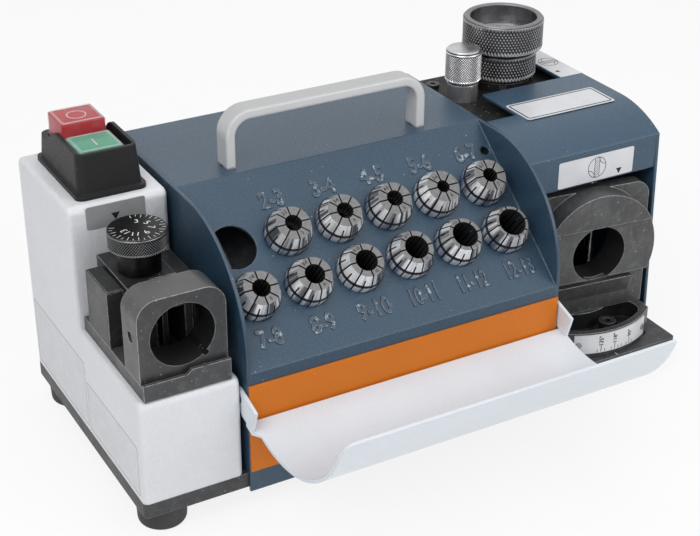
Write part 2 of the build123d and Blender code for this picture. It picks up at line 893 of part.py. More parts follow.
def make_wheel_guard():
    lip_low = top - guard_lip
    front = guard_front
    back = guard_front + sheet
    inner = guard_bend_radius - sheet
    profile = make_face([
        Line((rear_face, top), (guard_bend_start, top)),
        bend_arc(front, guard_bend_radius),
        Polyline((front, guard_height(front, guard_bend_radius)), (front, lip_low), (back, lip_low),
                 (back, guard_height(back, inner))),
        bend_arc(back, inner),
        Polyline((guard_bend_start, top - sheet), (rear_face, top - sheet), (rear_face, top)),
    ])
    guard = side_prism(profile, guard_left, guard_right)
    guard -= block(
        guard_left - 1, guard_left + notch_width, notch_front, rear_face + 1, top - 2 * sheet, top + 1
    )
    guard -= block(
        guard_left - 1, guard_right - strip_width, tongue_rear, rear_face + 1, top - 2 * sheet, top + 1
    )
    wall = make_face([
        Line((rear_face, top), (guard_bend_start, top)),
        bend_arc(front, guard_bend_radius),
        Polyline((front, guard_height(front, guard_bend_radius)), (guard_toe, 0.5), (rear_face, 0.5),
                 (rear_face, top)),
    ])
    guard += side_prism(wall, guard_inner, guard_right)
    guard += block(guard_left, guard_right, rear_face - sheet, rear_face, 0.5, deck_low - face_gap)
    for y in guard_screw_rows():
        guard -= rod_x(guard_inner - 1, guard_right + 1, y, base_top / 2, cover_screw / 2 + screw_gap)
    return guard


def post_places():
    """Centres of the posts that carry the deck."""
    return [
        (x, y)
        for x in (guard_left + post_inset, guard_inner - post_inset)
        for y in (post_front, post_rear)
    ]


def make_port_deck():
    deck = block(guard_left + face_gap, guard_inner - face_gap, deck_front, rear_face, deck_low, deck_top)
    deck -= rod(top_port_x, top_port_y, deck_low, deck_top, sleeve_diameter / 2)
    deck -= rod(knob_x, knob_y, deck_low, deck_top, knob_stem / 2 + running_gap)
    for x, y in post_places():
        deck -= rod(x, y, deck_low, deck_top, deck_screw / 2 + screw_gap)
    return deck


def make_deck_posts():
    posts = []
    for x, y in post_places():
        post = rod(x, y, base_top, deck_low, post_diameter / 2)
        posts.append(post - rod(x, y, deck_low - 10, deck_low, deck_screw / 2 + screw_gap))
    return group(posts)


def make_deck_screws():
    screws = []
    for x, y in post_places():
        screw = rod(x, y, deck_low - 6, deck_top, deck_screw / 2)
        head = rod(x, y, deck_top, deck_top + deck_screw / 2, deck_screw * 0.8)
        head -= Pos(x, y, deck_top + 0.4) * extrude(RegularPolygon(deck_screw * 0.4, 6), deck_screw)
        screws.append(screw + head)
    return group(screws)


def make_port_sleeve():
    x = top_port_x
    y = top_port_y
    sleeve = rod(x, y, sleeve_low, sleeve_top, sleeve_diameter / 2)
    for k in range(sleeve_notches // 2):
        notch = block(-sleeve_diameter, sleeve_diameter, -1.3, 1.3, sleeve_top - sleeve_rise * 0.6, sleeve_top)
        sleeve -= Pos(x, y, 0) * Rot(0, 0, 180 / (sleeve_notches // 2) * k) * notch
    return sleeve - rod(x, y, sleeve_low, sleeve_top, port_diameter / 2 + running_gap)


def make_chuck_body():
    x = top_port_x
    y = top_port_y
    stem_top = chuck_top - chuck_mouth_depth - face_gap
    nose_low = sleeve_low + face_gap
    body = rod(x, y, nose_low, chuck_seat, port_diameter / 2)
    lower = rod(x, y, chuck_seat, chuck_waist, chuck_lower_diameter / 2)
    body += chamfer(lower.edges().filter_by(GeomType.CIRCLE), 0.8)
    body += rod(x, y, chuck_waist, stem_top, chuck_stem / 2)
    body -= rod(x, y, nose_low, stem_top, chuck_bore / 2)
    depth = (collet_diameter - chuck_bore) / 2 / tan(radians(collet_taper))
    seat = Cone(collet_diameter / 2, chuck_bore / 2, depth)
    return body - Pos(x, y, nose_low + depth / 2) * seat


def make_chuck_sleeve():
    x = top_port_x
    y = top_port_y
    low = chuck_waist + face_gap
    ring = rod(x, y, low, chuck_top, chuck_upper_diameter / 2)
    ring = chamfer(ring.edges().filter_by(GeomType.CIRCLE), 0.8)
    ring -= rod(x, y, low, chuck_top, chuck_stem / 2 + running_gap)
    return ring - rod(x, y, chuck_top - chuck_mouth_depth, chuck_top, chuck_mouth / 2)


def make_knob_bush():
    bush = rod(knob_x, knob_y, deck_top, bush_top, bush_diameter / 2)
    return bush - rod(knob_x, knob_y, deck_top, bush_top, knob_stem / 2 + running_gap)


def make_depth_knob():
    low = bush_top + face_gap
    cap = rod(knob_x, knob_y, low, low + knob_height, knob_diameter / 2)
    cap = chamfer(cap.edges().filter_by(GeomType.CIRCLE), 0.8)
    return cap + rod(knob_x, knob_y, deck_low - 2, low, knob_stem / 2)


def swivel_slot(middle_radius, width, start, end, z0, z1):
    """Arc slot round the swivel axis; angles are counted from straight ahead, positive to the right."""
    arc = CenterArc((swivel_x, swivel_y), middle_radius, start - 90, end - start)
    return Pos(0, 0, z0) * extrude(SlotArc(arc, width), z1 - z0)


def make_swivel_base():
    low = swivel_low_z
    half = swivel_width / 2
    front = block(
        swivel_x - half, swivel_x + half, swivel_y - swivel_radius - 1, port_rear, low, swivel_top
    )
    heel_high = low + swivel_heel_height
    heel = block(swivel_x - half / 2, swivel_x + half / 2, port_rear, swivel_y, low, heel_high)
    heel += rod(swivel_x, swivel_y, low, heel_high, half / 2)
    heel -= block(
        swivel_x - half, swivel_x + half, swivel_y + swivel_heel, swivel_y + 2 * half, low, swivel_top
    )
    base = (front & rod(swivel_x, swivel_y, low, swivel_top, swivel_radius)) + heel
    pocket_middle = clamp_radius + 1.2
    half_span = clamp_pocket_span / 2
    floor = swivel_top - clamp_pocket_depth
    base -= swivel_slot(pocket_middle, clamp_pocket, -half_span + 4, half_span - 4, floor, swivel_top)
    slack = 1.5
    base -= swivel_slot(
        clamp_radius, clamp_screw + 2 * moving_gap, clamp_angle - swivel_high - slack,
        clamp_angle + swivel_low + slack, low, floor,
    )
    return base - rod(swivel_x, swivel_y, low, heel_high, swivel_pin / 2 + running_gap)


def make_lip_port():
    x = swivel_x
    foot_half = port_foot_width / 2
    plate_half = port_plate_width / 2
    plate_front = port_face + port_disc_depth
    foot_top = swivel_top + port_foot_height
    high = port_z + port_plate_rise
    corners = [(x - plate_half, high), (x + plate_half, high)]
    plate = polygon((x - plate_half, swivel_top), *corners, (x + plate_half, swivel_top))
    plate = fillet(near(plate.vertices(), *corners), port_plate_corner)
    port = front_prism(plate, plate_front, port_rear)
    port += block(x - foot_half, x + foot_half, port_foot_face, plate_front, swivel_top, foot_top)
    disc = rod_y(x, port_face, plate_front, port_z, port_disc / 2)
    port += disc - block(
        x - port_disc, x + port_disc, port_face, plate_front, swivel_top - port_disc, foot_top + port_groove
    )
    port += block(
        x - foot_half, x + foot_half, port_foot_face, plate_front, foot_top, foot_top + port_groove
    )
    lip = polygon(
        (port_face, foot_top), (port_foot_face, foot_top), (port_foot_face, foot_top - port_foot_height * 0.55)
    )
    port += side_prism(lip, x - foot_half * 0.72, x + foot_half * 0.72)
    ledge = rod_y(x, port_face - ledge_depth, port_face, port_z, port_disc / 2)
    port += ledge & block(
        x - port_disc, x + port_disc, port_face - ledge_depth, port_face, port_z + ledge_rise, port_z + port_disc
    )
    port -= rod_y(x, port_face - ledge_depth, port_rear, port_z, port_diameter / 2)
    return Pos(x, port_middle, 0) * Rot(0, 0, -port_skew) * Pos(-x, -port_middle, 0) * port


def make_angle_scale():
    middle = swivel_radius + scale_thickness / 2
    low = swivel_low_z + scale_low
    ring = rod(swivel_x, swivel_y, low, low + scale_height, swivel_radius + scale_thickness)
    ring -= rod(swivel_x, swivel_y, low, low + scale_height, swivel_radius)
    reach = 2 * middle
    left = radians(-scale_left - 90)
    right = radians(scale_right - 90)
    wedge = polygon(
        (swivel_x, swivel_y),
        (swivel_x + reach * cos(left), swivel_y + reach * sin(left)),
        (swivel_x, swivel_y - reach),
        (swivel_x + reach * cos(right), swivel_y + reach * sin(right)),
    )
    return ring & Pos(0, 0, low) * extrude(wedge, scale_height)


def make_scale_rivets():
    rivets = []
    z = swivel_low_z + scale_low + scale_height / 2
    for angle in (3 - scale_left, scale_right - 3):
        place = Pos(swivel_x, swivel_y, z) * Rot(0, 0, angle) * Pos(0, -swivel_radius - scale_thickness, 0)
        rivets.append(place * Rot(90, 0, 0) * Pos(0, 0, 0.25) * Cylinder(rivet_diameter / 2, 0.5))
    return group(rivets)


def make_clamp_screw():
    x, y = clamp_place()
    seat = swivel_top - clamp_pocket_depth + face_gap
    washer = rod(x, y, seat, seat + 1, clamp_screw * 1.1) - rod(x, y, seat, seat + 1, clamp_screw / 2 + screw_gap)
    screw = Pos(x, y, seat + 1) * cap_screw(clamp_screw, seat + 1, clamp_screw)
    return group([screw, washer])


def make_swivel_pin():
    high = swivel_low_z + swivel_heel_height
    return rod(swivel_x, swivel_y, base_top / 3, high, swivel_pin / 2)


def make_motor_stator():
    stator = rod_x(motor_left, motor_right, wheel_y, port_z, motor_radius)
    return stator - rod_x(motor_left, motor_right, wheel_y, port_z, motor_radius - stator_wall)


def make_motor_bells():
    bells = []
    for x0, pocket in (
        (motor_left - bell_width, motor_left - bearing_width),
        (motor_right, motor_right),
    ):
        bell = rod_x(x0, x0 + bell_width, wheel_y, port_z, motor_radius)
        bell -= rod_x(pocket, pocket + bearing_width, wheel_y, port_z, bearing_diameter / 2)
        bells.append(bell - rod_x(x0, x0 + bell_width, wheel_y, port_z, shaft_diameter / 2 + 1))
    return group(bells)


def make_motor_bearings():
    bearings = []
    for x0 in (motor_left - bearing_width, motor_right):
        ring = rod_x(x0, x0 + bearing_width, wheel_y, port_z, bearing_diameter / 2)
        bearings.append(
            ring - rod_x(x0, x0 + bearing_width, wheel_y, port_z, shaft_diameter / 2 + running_gap)
        )
    return group(bearings)


def make_motor_shaft():
    end = wheel_right + wheel_flange_width + shaft_diameter
    shaft = rod_x(motor_left - bell_width, end, wheel_y, port_z, shaft_diameter / 2)
    middle = (motor_left + motor_right) / 2
    rotor = motor_radius - stator_wall - rotor_gap
    return shaft + rod_x(middle - rotor_length / 2, middle + rotor_length / 2, wheel_y, port_z, rotor)


def make_motor_cradle():
    middle = (motor_left + motor_right) / 2
    cradle = block(
        middle - cradle_length / 2, middle + cradle_length / 2,
        wheel_y - cradle_width / 2, wheel_y + cradle_width / 2, base_top, base_top + cradle_rise,
    )
    return cradle - rod_x(middle - cradle_length, middle + cradle_length, wheel_y, port_z, motor_radius)


def make_grinding_wheel():
    wheel = Pos(swivel_x, wheel_y, port_z) * Rot(0, 90, 0) * Cone(
        wheel_radius + bevel, wheel_radius - bevel, wheel_width
    )
    return wheel - rod_x(wheel_left, wheel_right, wheel_y, port_z, shaft_diameter / 2)


def make_wheel_flanges():
    flanges = []
    for x0 in (wheel_left - wheel_flange_width, wheel_right):
        disc = rod_x(x0, x0 + wheel_flange_width, wheel_y, port_z, wheel_flange / 2)
        flanges.append(disc - rod_x(x0, x0 + wheel_flange_width, wheel_y, port_z, shaft_diameter / 2))
    return group(flanges)


def make_wheel_nut():
    nut = extrude(RegularPolygon(shaft_diameter * 0.95, 6), shaft_diameter * 0.7)
    nut = Pos(wheel_right + wheel_flange_width, wheel_y, port_z) * Rot(0, 90, 0) * nut
    x0 = wheel_right + wheel_flange_width
    return nut - rod_x(x0, x0 + shaft_diameter, wheel_y, port_z, shaft_diameter / 2)


def make_cable_gland():
    z = base_top + gland_rise
    y = base_depth
    nut = Pos(box_middle, y, z) * Rot(-90, 0, 0) * extrude(RegularPolygon(gland_bore + 2.5, 6), 4)
    dome = rod_y(box_middle, y + 4, y + 10, z, gland_bore)
    stem = rod_y(box_middle, y - box_wall, y, z, gland_bore - screw_gap)
    lock = rod_y(box_middle, y - box_wall - 3, y - box_wall, z, gland_bore + 2)
    return nut + dome + stem + lock - rod_y(box_middle, y - 10, y + 11, z, gland_bore / 2)


def make_capacitor():
    z = base_top + capacitor_diameter / 2
    y0 = box_wall + 6
    return rod_y(box_middle, y0, y0 + capacitor_length, z, capacitor_diameter / 2)


pieces = {
    "base_plate": make_base_plate(),
    "rubber_feet": make_rubber_feet(),
    "foot_screws": make_foot_screws(),
    "left_housing": make_left_housing(),
    "fixture_base": make_fixture_base(),
    "bored_block": make_bored_block(),
    "set_screw": make_set_screw(),
    "guide_bars": make_guide_bars(),
    "jaw_carrier": make_jaw_carrier(),
    "fixed_jaw": make_fixed_jaw(),
    "moving_jaw": make_moving_jaw(),
    "web_dial": make_web_dial(),
    "switch_frame": make_switch_frame(),
    "switch_body": make_switch_body(),
    "stop_button": make_button(stop_button_front(), stop_rise),
    "start_button": make_button(start_button_front(), start_rise),
    "rack_cover": make_rack_cover(),
    "front_band": make_front_band(),
    "rear_panel": make_rear_panel(),
    "cover_screws": make_cover_screws(),
    "carry_handle": make_carry_handle(),
    "handle_screws": make_handle_screws(),
    "front_lid": make_front_lid(),
    "lid_pins": make_lid_pins(),
    "wheel_guard": make_wheel_guard(),
    "port_deck": make_port_deck(),
    "deck_posts": make_deck_posts(),
    "deck_screws": make_deck_screws(),
    "port_sleeve": make_port_sleeve(),
    "chuck_body": make_chuck_body(),
    "chuck_sleeve": make_chuck_sleeve(),
    "knob_bush": make_knob_bush(),
    "depth_knob": make_depth_knob(),
    "swivel_base": make_swivel_base(),
    "lip_port": make_lip_port(),
    "angle_scale": make_angle_scale(),
    "scale_rivets": make_scale_rivets(),
    "clamp_screw": make_clamp_screw(),
    "swivel_pin": make_swivel_pin(),
    "motor_stator": make_motor_stator(),
    "motor_bells": make_motor_bells(),
    "motor_bearings": make_motor_bearings(),
    "motor_shaft": make_motor_shaft(),
    "motor_cradle": make_motor_cradle(),
    "grinding_wheel": make_grinding_wheel(),
    "wheel_flanges": make_wheel_flanges(),
    "wheel_nut": make_wheel_nut(),
    "cable_gland": make_cable_gland(),
    "capacitor": make_capacitor(),
}

# The first pocket of the upper row stays empty as the spare one.
collet_sizes = {}
for number, place in enumerate(pocket_places()[1:]):
    size = smallest_collet + number
    collet_sizes[f"collet_{size - 1}_{size}"] = (place, size)
    pieces[f"collet_{size - 1}_{size}"] = make_collet(place, size)

# The machine is centred over the origin and stands on Z = 0.
box = group(pieces.values()).bounding_box()
shift = Pos(-(box.min.X + box.max.X) / 2, -(box.min.Y + box.max.Y) / 2, -box.min.Z)

os.makedirs("parts", exist_ok=True)
for name, piece in pieces.items():
    export_step(shift * piece, f"parts/{name}.step")
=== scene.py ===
"""Bench drill bit grinder: finishes, knurled pieces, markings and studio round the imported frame."""
import json
from math import atan2, cos, pi, radians, sin

import bmesh
import bpy
from bpy.props import FloatProperty, FloatVectorProperty, IntProperty, PointerProperty
from mathutils import Matrix, Vector


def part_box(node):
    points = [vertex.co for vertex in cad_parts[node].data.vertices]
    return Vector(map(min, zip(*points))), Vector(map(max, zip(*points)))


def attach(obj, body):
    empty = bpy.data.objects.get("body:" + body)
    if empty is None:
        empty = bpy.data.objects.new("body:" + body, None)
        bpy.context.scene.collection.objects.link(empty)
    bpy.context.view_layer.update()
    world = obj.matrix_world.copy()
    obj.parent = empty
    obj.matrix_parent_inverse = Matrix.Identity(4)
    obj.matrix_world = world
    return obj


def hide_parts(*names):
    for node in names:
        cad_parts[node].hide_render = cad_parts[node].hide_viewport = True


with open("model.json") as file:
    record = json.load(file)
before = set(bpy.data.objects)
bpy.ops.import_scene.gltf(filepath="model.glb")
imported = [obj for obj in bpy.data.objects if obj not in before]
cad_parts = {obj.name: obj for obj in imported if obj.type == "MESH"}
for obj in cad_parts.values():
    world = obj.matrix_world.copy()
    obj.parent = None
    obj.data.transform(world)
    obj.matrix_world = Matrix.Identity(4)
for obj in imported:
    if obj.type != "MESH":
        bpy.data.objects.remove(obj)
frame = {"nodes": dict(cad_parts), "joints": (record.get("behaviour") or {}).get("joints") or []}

bl_info = {
    "name": "Drill Bit Grinder",
    "version": (1, 0, 0),
    "blender": (4, 5, 0),
    "location": "View3D > Sidebar > Grinder",
    "description": "Dresses the packed bench drill bit grinder and lights it",
    "category": "Object",
}

MM = 0.001
RIGHT = Vector((1.0, 0.0, 0.0))
BACK = Vector((0.0, 1.0, 0.0))
UP = Vector((0.0, 0.0, 1.0))
LEVEL = Vector((1.0, 1.0, 0.0))
HOME = Matrix.Identity(4)

WHITE = (1.0, 1.0, 1.0, 1.0)
PAINT_DUST = (0.62, 0.64, 0.66, 1.0)
PAINTED_EDGE_HIGHLIGHT = (0.22, 0.28, 0.34, 1.0)
STEEL_DUST = (0.55, 0.55, 0.55, 1.0)
RUBBED_STEEL = (0.55, 0.55, 0.56, 1.0)

# Cap height of Blender's own font, as a share of its size.
CAP_HEIGHT = 0.7
PORT_BORE = 14.0 * MM
PORT_SKEW = radians(6.5)
SWIVEL_POCKET = 40.4 * MM
SCALE_RADIUS = 43.8 * MM

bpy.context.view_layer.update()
nodes = frame["nodes"]
joints = {joint["name"]: joint for joint in frame["joints"]}
collets = [name for name in nodes if name.startswith("collet_")]
base_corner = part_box("base_plate")[0]
slope_out = Vector(joints[collets[0] + "_lift"]["axis"])
slope_up = slope_out.cross(RIGHT)


def at(x, y, z):
    """Point given in millimetres from the base plate's lower front left corner."""
    return base_corner + Vector((x, y, z)) * MM


def paint(name, description, default):
    """Colour property of a paint or metal."""
    return FloatVectorProperty(
        name=name, description=description, default=default, size=3, min=0.0, max=1.0, subtype="COLOR"
    )


def length(name, description, default):
    """Length property, with its default given in millimetres."""
    return FloatProperty(
        name=name, description=description, default=default * MM, min=0.0, precision=5,
        subtype="DISTANCE", unit="LENGTH",
    )


def count(name, description, default):
    """Counting property."""
    return IntProperty(name=name, description=description, default=default, min=1)


class GrinderColours(bpy.types.PropertyGroup):
    """Paints, plastics and metals of the grinder."""

    blue: paint("Blue paint", "Rack cover and wheel guard", (0.0228, 0.0555, 0.0935))
    white: paint("White paint", "Left box", (0.72, 0.735, 0.765))
    lid: paint("Lid white", "Front lid", (0.71, 0.758, 0.808))
    orange: paint("Orange band", "Band under the rack", (0.64, 0.165, 0.006))
    base: paint("Base grey", "Base plate", (0.046, 0.047, 0.049))
    black_steel: paint("Blackened steel", "Fixture, ports and deck", (0.066, 0.067, 0.069))
    chuck: paint("Chuck steel", "Plain faces of the chuck rings", (0.115, 0.115, 0.118))
    bright: paint("Bright steel", "Collets, posts and knob", (0.62, 0.62, 0.63))
    handle: paint("Handle silver", "Carrying handle", (0.57, 0.575, 0.58))
    red: paint("Stop red", "Stop button", (0.42, 0.006, 0.014))
    green: paint("Start green", "Start button", (0.05, 0.31, 0.18))
    switch: paint("Switch black", "Switch frame", (0.013, 0.013, 0.014))
    plate: paint("Plate white", "Blank plates", (0.70, 0.71, 0.74))
    ink: paint("Ink", "Printed marks", (0.012, 0.012, 0.013))
    enamel: paint("Enamel white", "Marks filled with white", (0.80, 0.80, 0.80))


class GrinderSizes(bpy.types.PropertyGroup):
    """Sizes of the pieces that the frame doesn't hold."""

    edge: length("Edge ease", "Rounding seen on sharp edges", 0.35)
    ring_teeth: count("Chuck ring teeth", "Diamonds round the upper chuck ring", 76)
    body_teeth: count("Chuck body teeth", "Diamonds round the lower chuck ring", 66)
    knob_teeth: count("Knob teeth", "Diamonds round the depth knob", 46)
    dial_teeth: count("Dial teeth", "Diamonds round the web dial", 68)
    coarse_knurl: length("Coarse knurl", "Depth of the chuck knurl", 0.42)
    fine_knurl: length("Fine knurl", "Depth of the knob and dial knurl", 0.32)
    number_height: length("Rack number height", "Cap height of the rack numbers", 7.8)
    number_relief: length("Rack number relief", "How far the rack numbers stand out", 0.6)
    upper_label: length("Upper label row", "Distance of the upper numbers down the slope", 16.0)
    lower_label: length("Lower label row", "Distance of the lower numbers down the slope", 76.2)
    ink_depth: length("Ink thickness", "Thickness of a printed mark", 0.06)
    plate_depth: length("Plate thickness", "Thickness of a stuck-on plate", 0.25)
    lens_wall: length("Lens wall", "Wall of the clear button caps", 0.4)


def colours():
    """Colours set in the panel."""
    return bpy.context.scene.grinder_colours


def sizes():
    """Sizes set in the panel."""
    return bpy.context.scene.grinder_sizes


def shade(colour, factor):
    """Colour made lighter or darker, with alpha."""
    return tuple(min(1.0, part * factor) for part in colour[:3]) + (1.0,)


class Wiring:
    """Node tree under construction."""

    def __init__(self, tree):
        self.tree = tree

    def feed(self, socket, value):
        """Links a socket to another one, or sets it."""
        if isinstance(value, bpy.types.NodeSocket):
            self.tree.links.new(value, socket)
        else:
            socket.default_value = value

    def add(self, kind, sockets, **settings):
        """Adds a node with its settings and sockets."""
        made = self.tree.nodes.new(kind)
        for name, value in settings.items():
            setattr(made, name, value)
        for name, value in sockets.items():
            self.feed(made.inputs[name], value)
        return made

    def maths(self, operation, first, second=0.0):
        """Sum, angle or the like of one or two values."""
        return self.add("ShaderNodeMath", {0: first, 1: second}, operation=operation).outputs[0]

    def times(self, first, second):
        """Product of two values."""
        return self.maths("MULTIPLY", first, second)

    def larger(self, first, second):
        """Larger one of two values."""
        return self.maths("MAXIMUM", first, second)

    def show_white(self, lit, glow, share, output):
        """Mixes a white glow into what is lit, for the eye and for reflections alone."""
        rays = self.tree.nodes.new("ShaderNodeLightPath").outputs
        seen = self.larger(rays["Is Camera Ray"], rays["Is Glossy Ray"])
        seen = self.larger(seen, rays["Is Transmission Ray"])
        white = self.add(glow, {"Color": WHITE, "Strength": 1.0}).outputs[0]
        both = self.add("ShaderNodeMixShader", {0: self.times(seen, share), 1: lit, 2: white}).outputs[0]
        self.feed(self.tree.nodes[output].inputs["Surface"], both)


class Finish(Wiring):
    """Node material under construction."""

    def __init__(self, name):
        self.material = bpy.data.materials.new(name)
        self.material.use_nodes = True
        super().__init__(self.material.node_tree)
        self.shader = self.tree.nodes["Principled BSDF"]
        coordinates = self.tree.nodes.new("ShaderNodeTexCoord")
        self.place = coordinates.outputs["Object"]
        self.facing = coordinates.outputs["Normal"]

    def surface(self, **values):
        """Sets or links the shader's sockets, underscores standing for spaces, and gives the material."""
        for name, value in values.items():
            self.feed(self.shader.inputs[name.replace("_", " ")], value)
        return self.material

    def stretched(self, scale):
        """Object coordinates scaled unevenly."""
        return self.add("ShaderNodeMapping", {"Vector": self.place, "Scale": scale}).outputs[0]

    def noise(self, scale, detail=2.0, rough=0.5, place=None):
        """Noise between 0 and 1; scale is in lumps per metre."""
        sockets = {"Vector": place or self.place, "Scale": scale, "Detail": detail, "Roughness": rough}
        return self.add("ShaderNodeTexNoise", sockets).outputs["Fac"]

    def span(self, value, low, high, new_low=0.0, new_high=1.0):
        """Maps a value from one range to another, clamped."""
        sockets = {"Value": value, "From Min": low, "From Max": high, "To Min": new_low, "To Max": new_high}
        return self.add("ShaderNodeMapRange", sockets).outputs[0]

    def between(self, share, none, full):
        """Value between two others, by a share from 0 to 1."""
        return self.span(share, 0.0, 1.0, none, full)

    def uneven(self, noise, low=0.0, high=1.0):
        """Spreads a noise, most of which lies between 0.3 and 0.7, over a range."""
        return self.span(noise, 0.3, 0.7, low, high)

    def vector(self, operation, first, second=(0.0, 0.0, 0.0), output="Vector"):
        """Sum, product or the like of two vectors."""
        return self.add("ShaderNodeVectorMath", {0: first, 1: second}, operation=operation).outputs[output]

    def dot(self, first, second):
        """Share of one vector along another."""
        return self.vector("DOT_PRODUCT", first, second, "Value")

    def in_plan(self, vector):
        """Length of a vector seen from above."""
        return self.vector("LENGTH", self.vector("MULTIPLY", vector, LEVEL), output="Value")

    def mix(self, share, first, second):
        """Mix of two colours."""
        made = self.add("ShaderNodeMix", {0: share}, data_type="RGBA")
        self.feed(made.inputs[6], first)
        self.feed(made.inputs[7], second)
        return made.outputs[2]

    def eased(self, radius):
        """Normal with its sharp edges rounded off."""
        return self.add("ShaderNodeBevel", {"Radius": radius}, samples=6).outputs[0]

    def relief(self, height, strength, distance, normal):
        """Normal with small relief."""
        sockets = {"Height": height, "Strength": strength, "Distance": distance, "Normal": normal}
        return self.add("ShaderNodeBump", sockets).outputs[0]

    def upward(self, amount=1.0):
        """Given amount on faces that look up, and 0 on upright ones."""
        return self.span(self.dot(self.facing, UP), 0.2, 0.9, 0.0, amount)

    def edge_wear(self, radius, sharp, broken):
        """1 along sharp edges and 0 on flats, broken up by noise."""
        true = self.tree.nodes.new("ShaderNodeNewGeometry").outputs["True Normal"]
        bare = self.span(self.dot(self.eased(radius), true), 0.985, sharp)
        patches = self.span(self.noise(700.0, 3.0), broken - 0.08, broken + 0.12)
        return self.times(bare, patches)

    def specks(self, spacing, radius, amount):
        """Scattered specks of dust of uneven size."""
        cells = self.add("ShaderNodeTexVoronoi", {"Vector": self.place, "Scale": 1.0 / spacing})
        chance = self.add("ShaderNodeSeparateColor", {"Color": cells.outputs["Color"]}).outputs[0]
        reach = self.times(self.maths("POWER", chance, 3.0), radius / spacing)
        return self.span(cells.outputs["Distance"], reach, 0.0, 0.0, amount)

    def window(self, low, high, margin=0.0):
        """1 inside a box given by two corners, made smaller by a margin."""
        half = (high - low) / 2 - Vector((margin, margin, margin))
        off = self.vector("ABSOLUTE", self.vector("SUBTRACT", self.place, (low + high) / 2))
        apart = self.add("ShaderNodeSeparateXYZ", {0: self.vector("DIVIDE", off, half)}).outputs
        largest = self.larger(self.larger(apart[0], apart[1]), apart[2])
        return self.maths("LESS_THAN", largest, 1.0)


def coated(
    name, colour, lump, depth, gloss, spread=0.04, dust=0.0, shine=0.5, ease=0.35, grain=0.0, pebble=0.4,
    rim=0.0, painted_top_shade=1.0, metal=0.0, labels=(),
):
    """Powder-coated or moulded surface with fine lumps, slight mottling, dust and printed labels.

    Depth and ease are in millimetres. Rim lightens the edges as a painted highlight, and a top shade darkens
    the upward faces as painted shade.
    """
    finish = Finish(name)
    mottle = finish.uneven(finish.noise(38.0, 4.0, 0.6))
    tint = finish.mix(mottle, shade(colour, 1.0 - spread), shade(colour, 1.0 + spread))
    lumps = finish.noise(lump, 3.0, 0.6)
    tint = finish.mix(finish.span(lumps, 0.38, 0.68, 0.0, 0.25), tint, shade(colour, 1.18))
    # Upward faces are darkened by this share: painted shade.
    if painted_top_shade < 1.0:
        tint = finish.mix(finish.upward(), tint, shade(colour, painted_top_shade))
    if grain:
        fine = finish.noise(2300.0, 2.0, 0.7)
        tint = finish.mix(finish.span(fine, 0.50, 0.30, 0.0, grain), tint, shade(colour, 0.35))
        tint = finish.mix(finish.span(fine, 0.52, 0.72, 0.0, grain), tint, shade(colour, 2.6))
    if dust:
        tint = finish.mix(finish.specks(3.0 * MM, 0.42 * MM, dust), tint, PAINT_DUST)
    # Rim lightens the sheet edges: a painted highlight along them.
    if rim:
        bare = finish.times(finish.edge_wear(0.45 * MM, 0.80, 0.40), rim)
        tint = finish.mix(bare, tint, PAINTED_EDGE_HIGHLIGHT)
    for low, high in labels:
        tint = finish.mix(finish.window(low, high), tint, shade(colours().ink, 9.0))
        clouds = finish.uneven(finish.noise(160.0, 4.0))
        paper = finish.mix(clouds, shade(colour, 0.90), shade(colour, 0.97))
        tint = finish.mix(finish.window(low, high, 0.3 * MM), tint, paper)
    rough = finish.uneven(finish.noise(lump * 0.5), gloss - 0.06, gloss + 0.08)
    normal = finish.relief(lumps, pebble, depth * MM, finish.eased(ease * MM))
    return finish.surface(
        Base_Color=tint, Roughness=rough, Normal=normal, Metallic=metal, Specular_IOR_Level=shine
    )


